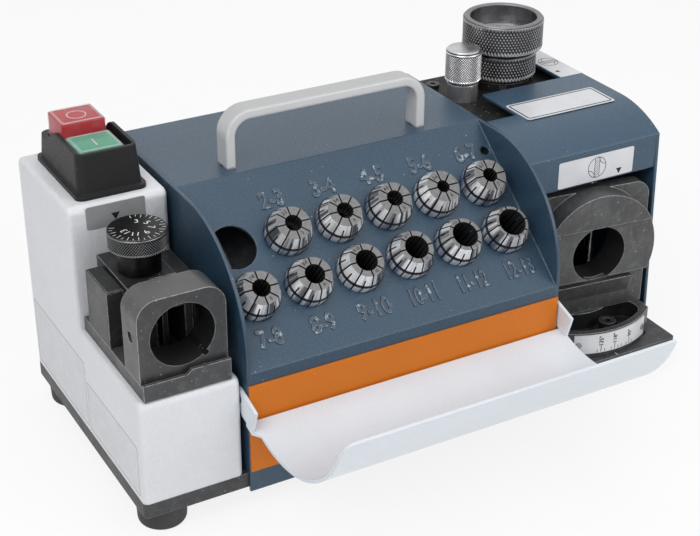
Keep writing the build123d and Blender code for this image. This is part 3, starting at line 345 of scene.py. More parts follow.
def blackened(
    name, colour, gloss, wear, metal=0.15, shine=0.35, sawn=0.0, rubbed_top=0.0, bores=(), ceiling=None
):
    """Blackened steel with faint milling marks, dust and edges rubbed bright; a top share lightens the upward
    faces as painted light.

    Each bore is a point, a way and a radius. Its inside gets painted shade, and with a ceiling only below
    that.
    """
    finish = Finish(name)
    patches = finish.span(finish.noise(55.0, 5.0, 0.62), 0.32, 0.7)
    tint = finish.mix(patches, shade(colour, 0.70), shade(colour, 1.25))
    marks = finish.noise(160.0, 4.0, 0.6, finish.stretched((1.0, 14.0, 1.0)))
    tint = finish.mix(finish.span(marks, 0.45, 0.75, 0.0, 0.28), tint, shade(colour, 1.7))
    worn = finish.span(finish.noise(260.0, 5.0, 0.72), 0.49, 0.72, 0.0, 0.6)
    tint = finish.mix(worn, tint, shade(colour, 2.3))
    if sawn:
        pitch = 1.1 * MM
        slant = finish.times(finish.dot(finish.place, (0.7, 0.7, 0.7)), 2 * pi / pitch)
        wave = finish.maths("SINE", finish.maths("ADD", slant, finish.noise(120.0, 3.0)))
        lines = finish.span(wave, 0.1, 1.0, 0.0, sawn)
        upright = finish.span(finish.maths("ABSOLUTE", finish.dot(finish.facing, UP)), 0.5, 0.2)
        tint = finish.mix(finish.times(lines, upright), tint, shade(colour, 2.4))
    # Upward faces are lightened by this share: painted light.
    if rubbed_top:
        tint = finish.mix(finish.upward(rubbed_top), tint, shade(colour, 2.6))
    rubbed = finish.times(finish.edge_wear(0.6 * MM, 0.82, 0.36), wear)
    tint = finish.mix(rubbed, tint, RUBBED_STEEL)
    tint = finish.mix(finish.specks(1.7 * MM, 0.46 * MM, 0.75), tint, STEEL_DUST)
    # The inside of each bore gets painted shade.
    for point, way, radius in bores:
        off = finish.vector("SUBTRACT", finish.place, point)
        away = finish.vector("LENGTH", finish.vector("CROSS_PRODUCT", off, way), output="Value")
        painted_bore_shade = finish.span(away, radius + 0.05 * MM, radius + 0.12 * MM, 0.85, 0.0)
        if ceiling is not None:
            below = finish.span(finish.dot(finish.place, UP), ceiling, ceiling - 0.3 * MM)
            painted_bore_shade = finish.times(painted_bore_shade, below)
        tint = finish.mix(painted_bore_shade, tint, shade(colour, 0.16))
    rough = finish.between(patches, gloss + 0.08, gloss - 0.06)
    normal = finish.relief(finish.noise(1900.0), 0.2, 0.04 * MM, finish.eased(sizes().edge))
    return finish.surface(
        Base_Color=tint, Roughness=rough, Normal=normal, Metallic=metal, Specular_IOR_Level=shine
    )


def ground(name, colour, gloss, streak=(1.0, 1.0, 1.0), smudge=0.12, ease=0.2, bare=1.0):
    """Bare machined steel with fine turning lines and finger marks; ease is in millimetres."""
    finish = Finish(name)
    smear = finish.span(finish.noise(120.0, 4.0, 0.6), 0.35, 0.7)
    tint = finish.mix(smear, shade(colour, 1.0 + smudge), shade(colour, 1.0 - smudge))
    lines = finish.noise(900.0, 3.0, 0.6, finish.stretched(streak))
    rough = finish.uneven(lines, gloss - 0.06, gloss + 0.10)
    normal = finish.relief(lines, 0.10, 0.03 * MM, finish.eased(ease * MM))
    return finish.surface(Base_Color=tint, Roughness=rough, Normal=normal, Metallic=bare)


def knurled(name, valley, crest, plain, axis, radius, depth, gloss):
    """Knurled steel: crests lighter as rubbing and painted highlight, valleys darker as painted shade, and
    plain turned faces.
    """
    finish = Finish(name)
    reach = finish.in_plan(finish.vector("SUBTRACT", finish.place, axis))
    # Crests are lightened and valleys darkened by their reach from the axis: painted highlight and painted
    # shade, partly rubbing of the crests.
    rubbed = finish.span(reach, radius - 0.85 * depth, radius - 0.40 * depth)
    tint = finish.mix(rubbed, valley, crest)
    inside = finish.span(reach, radius - 1.15 * depth, radius - 1.35 * depth)
    lines = finish.uneven(finish.noise(4000.0, place=finish.stretched((0.02, 0.02, 1.0))), 0.85, 1.15)
    lathed = finish.add("ShaderNodeVectorMath", {0: plain[:3], "Scale": lines}, operation="SCALE").outputs[0]
    tint = finish.mix(inside, tint, lathed)
    wear = finish.edge_wear(0.35 * MM, 0.86, 0.40)
    tint = finish.mix(finish.times(wear, inside), tint, shade(crest, 1.35))
    rough = finish.uneven(finish.noise(300.0, 3.0), gloss - 0.05, gloss + 0.08)
    return finish.surface(Base_Color=tint, Roughness=rough, Normal=finish.eased(0.12 * MM), Metallic=1.0)


def collet_ground(name, face, tilt):
    """Ground collet: matt face, polished cone and rim with painted reflections, and painted shade in the
    slits, groove and bore.

    Heights are along the collet's own axis and count from its face.
    """
    finish = Finish(name)
    turn = (tilt, 0.0, 0.0)
    shift = -(Matrix.Rotation(tilt, 3, "X") @ face)
    sockets = {"Vector": finish.place, "Rotation": turn, "Location": shift}
    local = finish.add("ShaderNodeMapping", sockets).outputs[0]
    normal = finish.add("ShaderNodeMapping", {"Vector": finish.facing, "Rotation": turn}).outputs[0]
    height = finish.dot(local, UP)
    upward = finish.dot(normal, UP)
    way = finish.vector("NORMALIZE", finish.vector("MULTIPLY", local, LEVEL))
    below_face = finish.span(height, -0.5 * MM, -0.9 * MM)

    sideways = finish.maths("ABSOLUTE", finish.dot(normal, finish.vector("CROSS_PRODUCT", way, UP)))
    slit_wall = finish.span(sideways, 0.5, 0.8)
    bore_wall = finish.span(finish.dot(normal, way), -0.35, -0.7)
    ledge = finish.times(finish.span(upward, 0.8, 0.95), below_face)
    groove_low = finish.span(height, -6.46 * MM, -6.38 * MM)
    groove_high = finish.span(height, -5.26 * MM, -5.34 * MM)
    apart = finish.add("ShaderNodeSeparateXYZ", {0: local}).outputs
    turns = finish.times(finish.maths("ARCTAN2", apart[1], apart[0]), 4.0)
    reach = finish.times(finish.in_plan(local), 0.25)

    def slits(wave):
        """Painted shade as dark lines over eight slits, from the wave that is zero there."""
        off = finish.times(reach, finish.maths("ABSOLUTE", finish.maths(wave, turns)))
        return finish.span(off, 0.36 * MM, 0.31 * MM)

    short_slits = finish.times(slits("COSINE"), finish.span(height, -2.2 * MM, -2.35 * MM))
    # The walls of slits and bore, the ledge, the groove and lines along the slits get painted shade.
    painted_shade = slit_wall
    for dark in (bore_wall, ledge, finish.times(groove_low, groove_high), slits("SINE"), short_slits):
        painted_shade = finish.larger(painted_shade, dark)

    # The light and dark facets round the collet's own axis are painted reflections.
    spot = finish.vector("ADD", way, face * 90.0)
    painted_reflection = finish.span(finish.noise(3.2, place=spot), 0.40, 0.58)
    cone = finish.mix(painted_reflection, (0.12, 0.125, 0.14, 1.0), (0.92, 0.92, 0.93, 1.0))
    rim = finish.mix(painted_reflection, (0.20, 0.25, 0.36, 1.0), (0.94, 0.95, 0.97, 1.0))
    tint = finish.mix(finish.span(height, -4.8 * MM, -4.95 * MM), cone, rim)
    flat = finish.times(finish.span(upward, 0.93, 0.98), finish.span(below_face, 0.2, 0.0))
    rings = finish.span(finish.noise(700.0, 3.0), 0.35, 0.65)
    matt = finish.mix(rings, (0.165, 0.165, 0.167, 1.0), (0.205, 0.205, 0.207, 1.0))
    tint = finish.mix(flat, tint, matt)
    tint = finish.mix(painted_shade, tint, (0.012, 0.012, 0.013, 1.0))
    rough = finish.maths("ADD", finish.between(flat, 0.24, 0.44), finish.between(painted_shade, 0.0, 0.4))
    bare = finish.times(finish.between(flat, 0.38, 1.0), finish.between(painted_shade, 1.0, 0.0))
    return finish.surface(Base_Color=tint, Roughness=rough, Normal=finish.eased(0.15 * MM), Metallic=bare)


def stamped(name, colour):
    """Glossy paint of the raised numbers, with painted glints."""
    finish = Finish(name)
    # Pale spots are painted highlights.
    painted_glints = finish.span(finish.noise(420.0, 2.0, 0.6), 0.57, 0.68, 0.0, 0.7)
    tint = finish.mix(painted_glints, shade(colour, 1.0), (0.46, 0.54, 0.61, 1.0))
    waves = finish.noise(600.0)
    rough = finish.uneven(waves, 0.10, 0.24)
    normal = finish.relief(waves, 0.25, 0.08 * MM, finish.eased(0.1 * MM))
    return finish.surface(
        Base_Color=tint, Roughness=rough, Normal=normal, Coat_Weight=0.5, Coat_Roughness=0.06, Coat_IOR=1.8
    )


def moulded(name, colour, gloss, metal=0.0, shine=0.5):
    """Smooth plastic, foil or enamel with faint waviness."""
    finish = Finish(name)
    wave = finish.uneven(finish.noise(70.0, 3.0))
    tint = finish.mix(wave, shade(colour, 0.94), shade(colour, 1.06))
    rough = finish.uneven(finish.noise(240.0, 3.0), gloss - 0.04, gloss + 0.06)
    normal = finish.relief(finish.noise(500.0), 0.08, 0.05 * MM, finish.eased(0.2 * MM))
    return finish.surface(
        Base_Color=tint, Roughness=rough, Normal=normal, Metallic=metal, Specular_IOR_Level=shine
    )


def clear_cap(name, thin, thick):
    """Clear moulding: a faint film that turns whiter where it is seen edge on, a painted sheen standing in
    for its reflections.
    """
    finish = Finish(name)
    edge_on = finish.add("ShaderNodeLayerWeight", {"Blend": 0.3}).outputs["Facing"]
    scuff = finish.span(finish.noise(260.0, 4.0), 0.35, 0.7, 0.0, 0.05)
    painted_sheen_and_scuffs = finish.maths("ADD", finish.between(edge_on, thin, thick), scuff)
    rough = finish.uneven(finish.noise(400.0), 0.05, 0.14)
    return finish.surface(Base_Color=(0.80, 0.82, 0.83, 1.0), Roughness=rough, Alpha=painted_sheen_and_scuffs)


def abrasive(name, colour):
    """Bonded grit of the wheel."""
    finish = Finish(name)
    grit = finish.add("ShaderNodeTexVoronoi", {"Vector": finish.place, "Scale": 1400.0}).outputs["Distance"]
    tint = finish.mix(finish.span(grit, 0.1, 0.6), shade(colour, 1.5), shade(colour, 0.55))
    rough = finish.span(grit, 0.0, 0.6, 0.55, 0.85)
    normal = finish.relief(grit, 0.6, 0.2 * MM, finish.eased(0.2 * MM))
    return finish.surface(Base_Color=tint, Roughness=rough, Normal=normal)


def material(name):
    """Finish made earlier."""
    found = bpy.data.materials.get(name)
    if found is None:
        raise RuntimeError("there is no finish named " + name)
    return found


def coat_nodes(finish, *names):
    """Gives CAD nodes a finish."""
    for name in names:
        slots = nodes[name].data.materials
        slots.clear()
        slots.append(finish)


def deselect():
    """Leaves nothing selected, in object mode."""
    if bpy.context.mode != "OBJECT":
        bpy.ops.object.mode_set(mode="OBJECT")
    bpy.ops.object.select_all(action="DESELECT")


def pick(piece):
    """Makes a piece the only one selected."""
    deselect()
    piece.select_set(True)
    bpy.context.view_layer.objects.active = piece


def bake_place():
    """Keeps the place, turn and scale of what is selected in its mesh."""
    bpy.ops.object.transform_apply(location=True, rotation=True, scale=True)


def move_to(piece, place):
    """Puts a piece at a place and keeps the place in its mesh."""
    pick(piece)
    piece.matrix_world = place
    bake_place()
    return piece


def over(point, level):
    """Place at a level over or under a point."""
    return Matrix.Translation((point.x, point.y, level))


def shifted(place, x, y, turn=0.0):
    """Place moved along its own X and Y, then turned about its own Z."""
    return place @ Matrix.Translation((x, y, 0.0)) @ Matrix.Rotation(turn, 4, "Z")


def facing(origin, right, up):
    """Place whose X runs right and Y up, so that its Z faces out."""
    right = Vector(right).normalized()
    up = Vector(up).normalized()
    place = Matrix((right, up, right.cross(up))).transposed().to_4x4()
    place.translation = origin
    return place


def repeated(piece, places):
    """Copies a piece, each copy with its own mesh, so that one stands at each place."""
    copies = []
    for place in places[1:]:
        pick(piece)
        bpy.ops.object.duplicate(linked=False)
        copies.append(move_to(bpy.context.object, place))
    return [move_to(piece, places[0]), *copies]


def joined(pieces):
    """Joins several meshes to one."""
    pick(pieces[0])
    for piece in pieces[1:]:
        piece.select_set(True)
    if len(pieces) > 1:
        bpy.ops.object.join()
    return bpy.context.object


def smooth(piece, angle):
    """Smooth shading across edges flatter than the angle."""
    pick(piece)
    bpy.ops.object.shade_smooth_by_angle(angle=radians(angle))


def seat(piece, name, body, slot, finish, *replaced):
    """Names and finishes a piece, and makes it ride on its body."""
    piece.name = name
    piece.data.name = name
    piece.data.materials.clear()
    piece.data.materials.append(finish)
    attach(piece, body)
    if replaced:
        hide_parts(*replaced)


def middle(node):
    """Middle of a CAD node's box."""
    low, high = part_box(node)
    return (low + high) / 2


def heights(node):
    """Lowest and highest level of a CAD node, in millimetres."""
    low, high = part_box(node)
    return low.z / MM, high.z / MM


def select_mesh(action="SELECT"):
    """Selects or deselects the whole mesh in edit mode."""
    bpy.ops.mesh.select_all(action=action)


def edit_all():
    """Enters edit mode with the whole mesh selected."""
    bpy.ops.object.mode_set(mode="EDIT")
    select_mesh()


def close_mesh():
    """Merges the doubles of a spun mesh, turns its faces outwards and leaves edit mode."""
    select_mesh()
    bpy.ops.mesh.remove_doubles(threshold=0.0005 * MM)
    bpy.ops.mesh.normals_make_consistent(inside=False)
    bpy.ops.object.mode_set(mode="OBJECT")


def turned(profile, axis, steps):
    """Turns a line of (radius, height) points in millimetres round the upright axis."""
    points = [(radius * MM, height * MM) for radius, height in profile]
    deselect()
    first = Vector((axis.x + points[0][0], axis.y, points[0][1]))
    bpy.ops.mesh.primitive_plane_add(size=MM, location=first)
    piece = bpy.context.object
    bake_place()
    edit_all()
    bpy.ops.mesh.merge(type="CENTER")
    for here, there in zip(points, points[1:]):
        way = (there[0] - here[0], 0.0, there[1] - here[1])
        bpy.ops.mesh.extrude_vertices_move(TRANSFORM_OT_translate={"value": way})
    select_mesh()
    bpy.ops.mesh.spin(steps=steps, angle=2 * pi, center=(axis.x, axis.y, 0.0), axis=UP)
    close_mesh()
    return piece


def rows(radius, low, high, number):
    """Points of a band that is to be knurled, from its low to its high end."""
    return [(radius, low + (high - low) * k / (number - 1)) for k in range(number)]


def knurled_turning(lower, band, upper, axis, teeth, depth):
    """Turns a profile in millimetres and sinks every second point of its band, so that diamonds stand."""
    steps = 2 * teeth
    piece = turned([*lower, *band, *upper], axis, steps)
    radius = band[0][0] * MM
    low = band[0][1] * MM
    high = band[-1][1] * MM
    last = len(band) - 1
    slack = 0.01 * MM
    pick(piece)
    bpy.ops.object.mode_set(mode="EDIT")
    bpy.ops.mesh.select_mode(type="VERT")
    select_mesh("DESELECT")
    mesh = bmesh.from_edit_mesh(piece.data)
    for vertex in mesh.verts:
        x = vertex.co.x - axis.x
        y = vertex.co.y - axis.y
        in_band = low - slack < vertex.co.z < high + slack
        if in_band and abs(Vector((x, y)).length - radius) < slack:
            row = round((vertex.co.z - low) / (high - low) * last)
            step = round(atan2(y, x) / (2 * pi) * steps)
            vertex.select_set(0 < row < last and (row + step) % 2 == 1)
    mesh.select_flush_mode()
    bmesh.update_edit_mesh(piece.data)
    ratio = 1.0 - depth / radius
    bpy.ops.transform.resize(value=(ratio, ratio, 1.0), center_override=(axis.x, axis.y, 0.0))
    select_mesh()
    bpy.ops.mesh.quads_convert_to_tris(quad_method="SHORTEST_DIAGONAL", ngon_method="BEAUTY")
    bpy.ops.object.mode_set(mode="OBJECT")
    smooth(piece, 24.0)
    return piece


def ease_top(piece, top, ease):
    """Rounds the edges of a piece's flat top."""
    pick(piece)
    bpy.ops.object.mode_set(mode="EDIT")
    bpy.ops.mesh.select_mode(type="EDGE")
    select_mesh("DESELECT")
    mesh = bmesh.from_edit_mesh(piece.data)
    for edge in mesh.edges:
        edge.select_set(all(abs(vertex.co.z - top) < 0.01 * MM for vertex in edge.verts))
    bmesh.update_edit_mesh(piece.data)
    bpy.ops.mesh.bevel(offset=ease, segments=3, affect="EDGES")
    bpy.ops.object.mode_set(mode="OBJECT")
    smooth(piece, 40.0)


def lettering(text, height, depth, place, bevel=0.0, narrow=1.0, bold=0.0):
    """Raised text, centred on its place and facing along the place's Z."""
    deselect()
    bpy.ops.object.text_add()
    words = bpy.context.object.data
    words.body = text
    words.align_x = "CENTER"
    words.align_y = "CENTER"
    words.size = height / CAP_HEIGHT
    words.extrude = depth
    words.offset = bold
    words.bevel_depth = bevel
    words.bevel_resolution = 3
    words.resolution_u = 5
    bpy.ops.object.convert(target="MESH")
    return move_to(bpy.context.object, place @ Matrix.Diagonal((narrow, 1.0, 1.0, 1.0)))


def start_flat(width, height):
    """Starts a flat piece: a rectangle of its size at the origin."""
    deselect()
    bpy.ops.mesh.primitive_plane_add(size=1.0)
    bpy.ops.transform.resize(value=(width, height, 1.0))
    bake_place()
    return bpy.context.object


def round_corners(rounding):
    """Rounds the corners of a flat piece in edit mode."""
    bpy.ops.mesh.bevel(offset=rounding, segments=5, affect="VERTICES")
    select_mesh()


def raised(piece, depth, place):
    """Gives a flat piece in edit mode its thickness and puts it at its place."""
    select_mesh()
    bpy.ops.mesh.extrude_region_move(TRANSFORM_OT_translate={"value": (0.0, 0.0, depth)})
    select_mesh()
    bpy.ops.mesh.normals_make_consistent(inside=False)
    bpy.ops.object.mode_set(mode="OBJECT")
    return move_to(piece, place)


def slab(width, height, depth, rounding=0.0, place=HOME):
    """Flat plate, with rounded corners if asked, that stands on its place's XY plane."""
    piece = start_flat(width, height)
    edit_all()
    if rounding:
        round_corners(rounding)
    return raised(piece, depth, place)


def outline(width, height, thick, depth, rounding, place):
    """Line round a rectangle with rounded corners, standing on its place's XY plane."""
    piece = start_flat(width, height)
    edit_all()
    round_corners(rounding)
    bpy.ops.mesh.inset(thickness=thick, depth=0.0)
    bpy.ops.mesh.delete(type="FACE")
    return raised(piece, depth, place)


def flat_ring(radius, width, depth, place=HOME, sides=48, arc=2 * pi, start=0.0):
    """Flat ring, or a part of one, that stands on its place's XY plane."""
    piece = start_flat(width, depth)
    lifted = Matrix.Translation((radius, 0.0, depth / 2)) @ Matrix.Rotation(pi / 2, 4, "X")
    move_to(piece, Matrix.Rotation(start, 4, "Z") @ lifted)
    edit_all()
    if arc >= 2 * pi:
        bpy.ops.mesh.delete(type="ONLY_FACE")
        select_mesh()
    bpy.ops.mesh.spin(steps=sides, angle=arc, center=(0.0, 0.0, 0.0), axis=UP)
    close_mesh()
    return move_to(piece, place)


def pointer(size, depth, place):
    """Solid triangle that points along the place's minus Y."""
    deselect()
    bpy.ops.mesh.primitive_circle_add(vertices=3, radius=size, fill_type="NGON", rotation=(0.0, 0.0, pi))
    piece = bpy.context.object
    bake_place()
    edit_all()
    return raised(piece, depth, place)


def size_text(collet):
    """Range of shanks that a collet takes, as it is marked."""
    return collet.replace("collet_", "").replace("_", "-")


class GRINDER_OT_paintwork(bpy.types.Operator):
    """Paints the covers, the lid, the band and the base plate"""

    bl_idname = "grinder.paintwork"
    bl_label = "Paintwork"

    def execute(self, context):
        tint = colours()
        sheet = {
            "lump": 1500.0, "depth": 0.08, "gloss": 0.36, "spread": 0.06,
            "dust": 0.7, "shine": 0.6, "ease": 1.2, "grain": 0.5,
        }
        coat_nodes(coated("blue_paint", tint.blue, rim=0.55, **sheet), "rack_cover", "rear_panel")
        # The guard gets a lighter copy of the rack's blue, as painted light.
        coat_nodes(coated("guard_paint", shade(tint.blue, 1.2), rim=0.4, **sheet), "wheel_guard")
        rear_label = (at(-0.1, 62.6, 9.2), at(0.05, 127.0, 42.0))
        front_label = (at(-0.1, 4.2, 9.2), at(0.05, 60.6, 33.4))
        box = coated(
            "white_box_paint", tint.white, 620.0, 0.30, 0.44, spread=0.02, ease=0.9, pebble=0.85,
            labels=(rear_label, front_label),
        )
        coat_nodes(box, "left_housing")
        coat_nodes(coated("white_lid_paint", tint.lid, 1100.0, 0.05, 0.36, spread=0.02), "front_lid")
        band = coated("orange_band", tint.orange, 1800.0, 0.03, 0.36, dust=0.4, shine=0.3, grain=0.12)
        coat_nodes(band, "front_band")
        coat_nodes(blackened("base_grey", tint.base, 0.52, 0.35, metal=0.0, sawn=0.34), "base_plate")
        return {"FINISHED"}


class GRINDER_OT_metalwork(bpy.types.Operator):
    """Finishes the blackened fixtures, the handle and the fasteners"""

    bl_idname = "grinder.metalwork"
    bl_label = "Metalwork"

    def execute(self, context):
        tint = colours()

        def black(name, factor, gloss, wear, **more):
            """Blackened steel, lighter or darker than the usual one."""
            return blackened(name, shade(tint.black_steel, factor), gloss, wear, **more)

        coat_nodes(black("black_steel", 1.0, 0.42, 0.8), "fixture_base")
        # The swivel's pocket gets painted shade inside, below its ceiling.
        pocket = (Vector(joints["swivel_turn"]["pos_m"]), UP, SWIVEL_POCKET)
        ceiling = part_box("swivel_base")[1].z - 0.3 * MM
        swivel = black("swivel_steel", 0.8, 0.38, 0.8, shine=0.45, bores=(pocket,), ceiling=ceiling)
        coat_nodes(swivel, "swivel_base")
        oiled = black("oiled_steel", 0.42, 0.36, 0.9, shine=0.3)
        coat_nodes(oiled, "guide_bars", "jaw_carrier", "fixed_jaw", "moving_jaw")
        setting_bore = (at(22.5, 12.0, 80.5), BACK, PORT_BORE)
        pin_hole = (at(32.1, 12.0, 69.4), BACK, 1.3 * MM)
        # The bored block's upward faces are lightened as painted light, and its bores get painted shade
        # inside.
        block = black(
            "bored_block_steel", 0.50, 0.36, 1.0, shine=0.75, rubbed_top=0.7, bores=(setting_bore, pin_hole)
        )
        coat_nodes(block, "bored_block")
        # The lip port's bore gets painted shade inside.
        lip_bore = (at(244.0, 28.0, 52.7), Vector((sin(PORT_SKEW), cos(PORT_SKEW), 0.0)), PORT_BORE)
        coat_nodes(black("lip_port_steel", 0.95, 0.40, 0.9, shine=0.55, bores=(lip_bore,)), "lip_port")
        coat_nodes(black("deck_black", 0.24, 0.44, 0.3, metal=0.0, shine=0.1), "port_deck", "port_sleeve")
        dark = black("dark_screw", 0.4, 0.34, 0.5, metal=0.3, shine=0.3)
        coat_nodes(dark, "set_screw", "clamp_screw", "foot_screws", "lid_pins", "swivel_pin", "deck_screws")

        coat_nodes(ground("bright_steel", tint.bright, 0.20, (1.0, 1.0, 0.05)), "deck_posts")
        bush = ground(
            "bush_steel", shade(tint.bright, 0.9), 0.20, (0.08, 0.08, 0.004), smudge=0.05, ease=0.3, bare=0.8
        )
        coat_nodes(bush, "knob_bush")
        coat_nodes(ground("screw_steel", shade(tint.bright, 0.62), 0.34), "cover_screws", "handle_screws")
        rivet = ground("rivet_alloy", (0.27, 0.27, 0.28), 0.30, smudge=0.1, ease=0.3, bare=0.5)
        coat_nodes(rivet, "scale_rivets")
        # The handle's upward faces are darkened as painted shade.
        handle = coated(
            "handle_silver", shade(tint.handle, 1.12), 2200.0, 0.04, 0.40, spread=0.02, ease=1.6,
            painted_top_shade=0.76, metal=0.1,
        )
        coat_nodes(handle, "carry_handle")
        coat_nodes(moulded("scale_plate", (0.66, 0.67, 0.69), 0.34), "angle_scale")
        return {"FINISHED"}


class GRINDER_OT_collets(bpy.types.Operator):
    """Grinds the collets and marks their faces with their sizes"""

    bl_idname = "grinder.collets"
    bl_label = "Collets"

    def execute(self, context):
        depth = sizes().ink_depth
        tilt = atan2(slope_out.y, slope_out.z)
        spin = Matrix.Rotation(tilt, 3, "X")
        for name in collets:
            points = [spin @ vertex.co for vertex in nodes[name].data.vertices]
            low = [min(point[k] for point in points) for k in range(3)]
            high = [max(point[k] for point in points) for k in range(3)]
            crown = Vector(((low[0] + high[0]) / 2, (low[1] + high[1]) / 2, high[2]))
            face = spin.transposed() @ crown
            coat_nodes(collet_ground(name + "_ground", face, tilt), name)
            reaches = [(point - crown).xy.length for point in points if point.z > crown.z - 0.02 * MM]
            inner = min(reaches)
            outer = max(reaches)
            height = min(1.6 * MM, 0.55 * (outer - inner))
            text = size_text(name)
            marks = []
            for degrees, words, way in ((112.5, text, 1.0), (-67.5, text.split("-")[1], -1.0)):
                turn = radians(degrees)
                up = RIGHT * cos(turn) + slope_up * sin(turn)
                right = RIGHT * sin(turn) - slope_up * cos(turn)
                origin = face + up * (inner + outer) / 2 - slope_out * depth / 2
                place = facing(origin, right * way, up * way)
                marks.append(lettering(words, height, depth, place, narrow=0.8, bold=0.05 * MM))
            seat(joined(marks), name + "_mark", name, "dark_screw", material("ink"))
        return {"FINISHED"}


class GRINDER_OT_mouldings(bpy.types.Operator):
    """Finishes the switch, the feet and the gland, and mixes the inks"""

    bl_idname = "grinder.mouldings"
    bl_label = "Mouldings"

    def execute(self, context):
        tint = colours()
        switch = coated(
            "switch_black", tint.switch, 1700.0, 0.05, 0.46, spread=0.10, dust=0.3, shine=0.25, ease=0.9
        )
        coat_nodes(switch, "switch_frame", "switch_body")
        rubber = coated("rubber", (0.050, 0.050, 0.052), 1200.0, 0.10, 0.66, spread=0.10, dust=0.4, shine=0.3)
        coat_nodes(rubber, "rubber_feet")
        gland = coated("gland_black", (0.018, 0.018, 0.019), 1500.0, 0.06, 0.46, spread=0.05, shine=0.3)
        coat_nodes(gland, "cable_gland")
        moulded("stop_red", tint.red, 0.34, shine=0.2)
        moulded("start_green", tint.green, 0.34, shine=0.2)
        moulded("plate_white", tint.plate, 0.34)
        moulded("plate_foil", (0.36, 0.365, 0.375), 0.38, metal=0.3)
        moulded("ink", tint.ink, 0.5, shine=0.3)
        moulded("enamel_white", tint.enamel, 0.45)
        moulded("sign_white", shade(tint.enamel, 0.68), 0.45)
        clear_cap("clear_cap", 0.02, 0.22)
        # This film draws the lines on the caps' edges as painted highlights.
        clear_cap("cap_edge", 0.55, 0.85)
        return {"FINISHED"}


class GRINDER_OT_drive(bpy.types.Operator):
    """Finishes the motor and the wheel inside"""

    bl_idname = "grinder.drive"
    bl_label = "Motor and wheel"

    def execute(self, context):
        coat_nodes(blackened("motor_iron", (0.10, 0.10, 0.11), 0.5, 0.4), "motor_stator", "motor_cradle")
        alloy = ground("motor_alloy", (0.46, 0.46, 0.47), 0.42)
        coat_nodes(alloy, "motor_bells", "motor_bearings", "wheel_flanges")
        shaft = ground("shaft_steel", (0.50, 0.50, 0.51), 0.28, (0.05, 1.0, 1.0))
        coat_nodes(shaft, "motor_shaft", "wheel_nut")
        coat_nodes(abrasive("wheel_grit", (0.36, 0.33, 0.29)), "grinding_wheel")
        coat_nodes(moulded("capacitor_grey", (0.42, 0.43, 0.44), 0.45), "capacitor")
        return {"FINISHED"}


class GRINDER_OT_chuck(bpy.types.Operator):
    """Turns and knurls both rings of the collet chuck"""

    bl_idname = "grinder.chuck"
    bl_label = "Collet chuck"

    def execute(self, context):
        size = sizes()
        depth = size.coarse_knurl
        gloss = 0.34
        plain = colours().chuck
        valley = shade(plain, 0.32)
        crest = shade(plain, 2.3)
        axis = middle("chuck_sleeve")

        low, high = heights("chuck_sleeve")
        radius = 20.0
        bore = 14.55
        recess = 16.5
        seat_height = high - 8.5
        lower = [(bore, seat_height), (bore, low), (18.8, low), (19.3, low + 0.4)]
        band = rows(radius, low + 1.1, high - 1.0, 11)
        upper = [
            (19.35, high - 0.3), (19.0, high), (17.0, high), (recess, high - 0.5), (recess, seat_height),
            (bore, seat_height),
        ]
        ring = knurled_turning(lower, band, upper, axis, size.ring_teeth, depth)
        face = shade(plain, 1.7)
        steel = knurled("chuck_ring_steel", valley, crest, face, axis, radius * MM, depth, gloss)
        seat(ring, "chuck_ring", "chuck_ring", "chuck_steel", steel, "chuck_sleeve")

        bottom, top = heights("chuck_body")
        gap = 0.3
        collar = 13.8
        base = low - gap - collar
        radius = 17.35
        bore = 6.8
        shank = 14.0
        neck = 14.5
        step = top - 1.2
        taper_top = bottom + 26.327
        lower = [
            (bore, step), (bore, taper_top), (10.5, bottom), (shank, bottom), (shank, base),
            (16.4, base), (16.8, base + 0.3),
        ]
        band = rows(radius, base + 1.0, base + 12.6, 9)
        upper = [
            (16.7, base + collar - 0.4), (16.3, base + collar), (neck, base + collar), (neck, top - 0.6),
            (13.9, top), (12.2, top), (12.0, top - 0.8), (10.6, top - 0.8), (10.3, top - 0.1),
            (8.6, top - 0.1), (8.3, step), (bore, step),
        ]
        nose = knurled_turning(lower, band, upper, axis, size.body_teeth, depth)
        # The nose's plain faces lie deep in the ring's mouth and are made much lighter: painted light.
        face = shade(plain, 4.5)
        steel = knurled("chuck_nose_steel", valley, crest, face, axis, radius * MM, depth, gloss)
        seat(nose, "chuck_nose", "chuck", "chuck_steel", steel, "chuck_body")
        return {"FINISHED"}


class GRINDER_OT_depth_knob(bpy.types.Operator):
    """Turns and knurls the depth knob"""

    bl_idname = "grinder.depth_knob"
    bl_label = "Depth knob"

    def execute(self, context):
        size = sizes()
        axis = middle("depth_knob")
        low, high = heights("depth_knob")
        radius = 8.8
        stem = 3.0
        base = high - 17.0
        lower = [(0.0, low), (stem, low), (stem, base), (7.2, base), (7.6, base + 0.4)]
        band = rows(radius, base + 1.5, high - 1.6, 23)
        upper = [(8.5, high - 1.2), (8.5, high - 0.7), (7.8, high), (0.0, high)]
        knob = knurled_turning(lower, band, upper, axis, size.knob_teeth, size.fine_knurl)
        valley, crest, plain = (shade(colours().bright, factor) for factor in (0.13, 1.12, 0.8))
        steel = knurled("knob_steel", valley, crest, plain, axis, radius * MM, size.fine_knurl, 0.26)
        seat(knob, "depth_knob_knurled", "knob", "knob_steel", steel, "depth_knob")
        return {"FINISHED"}


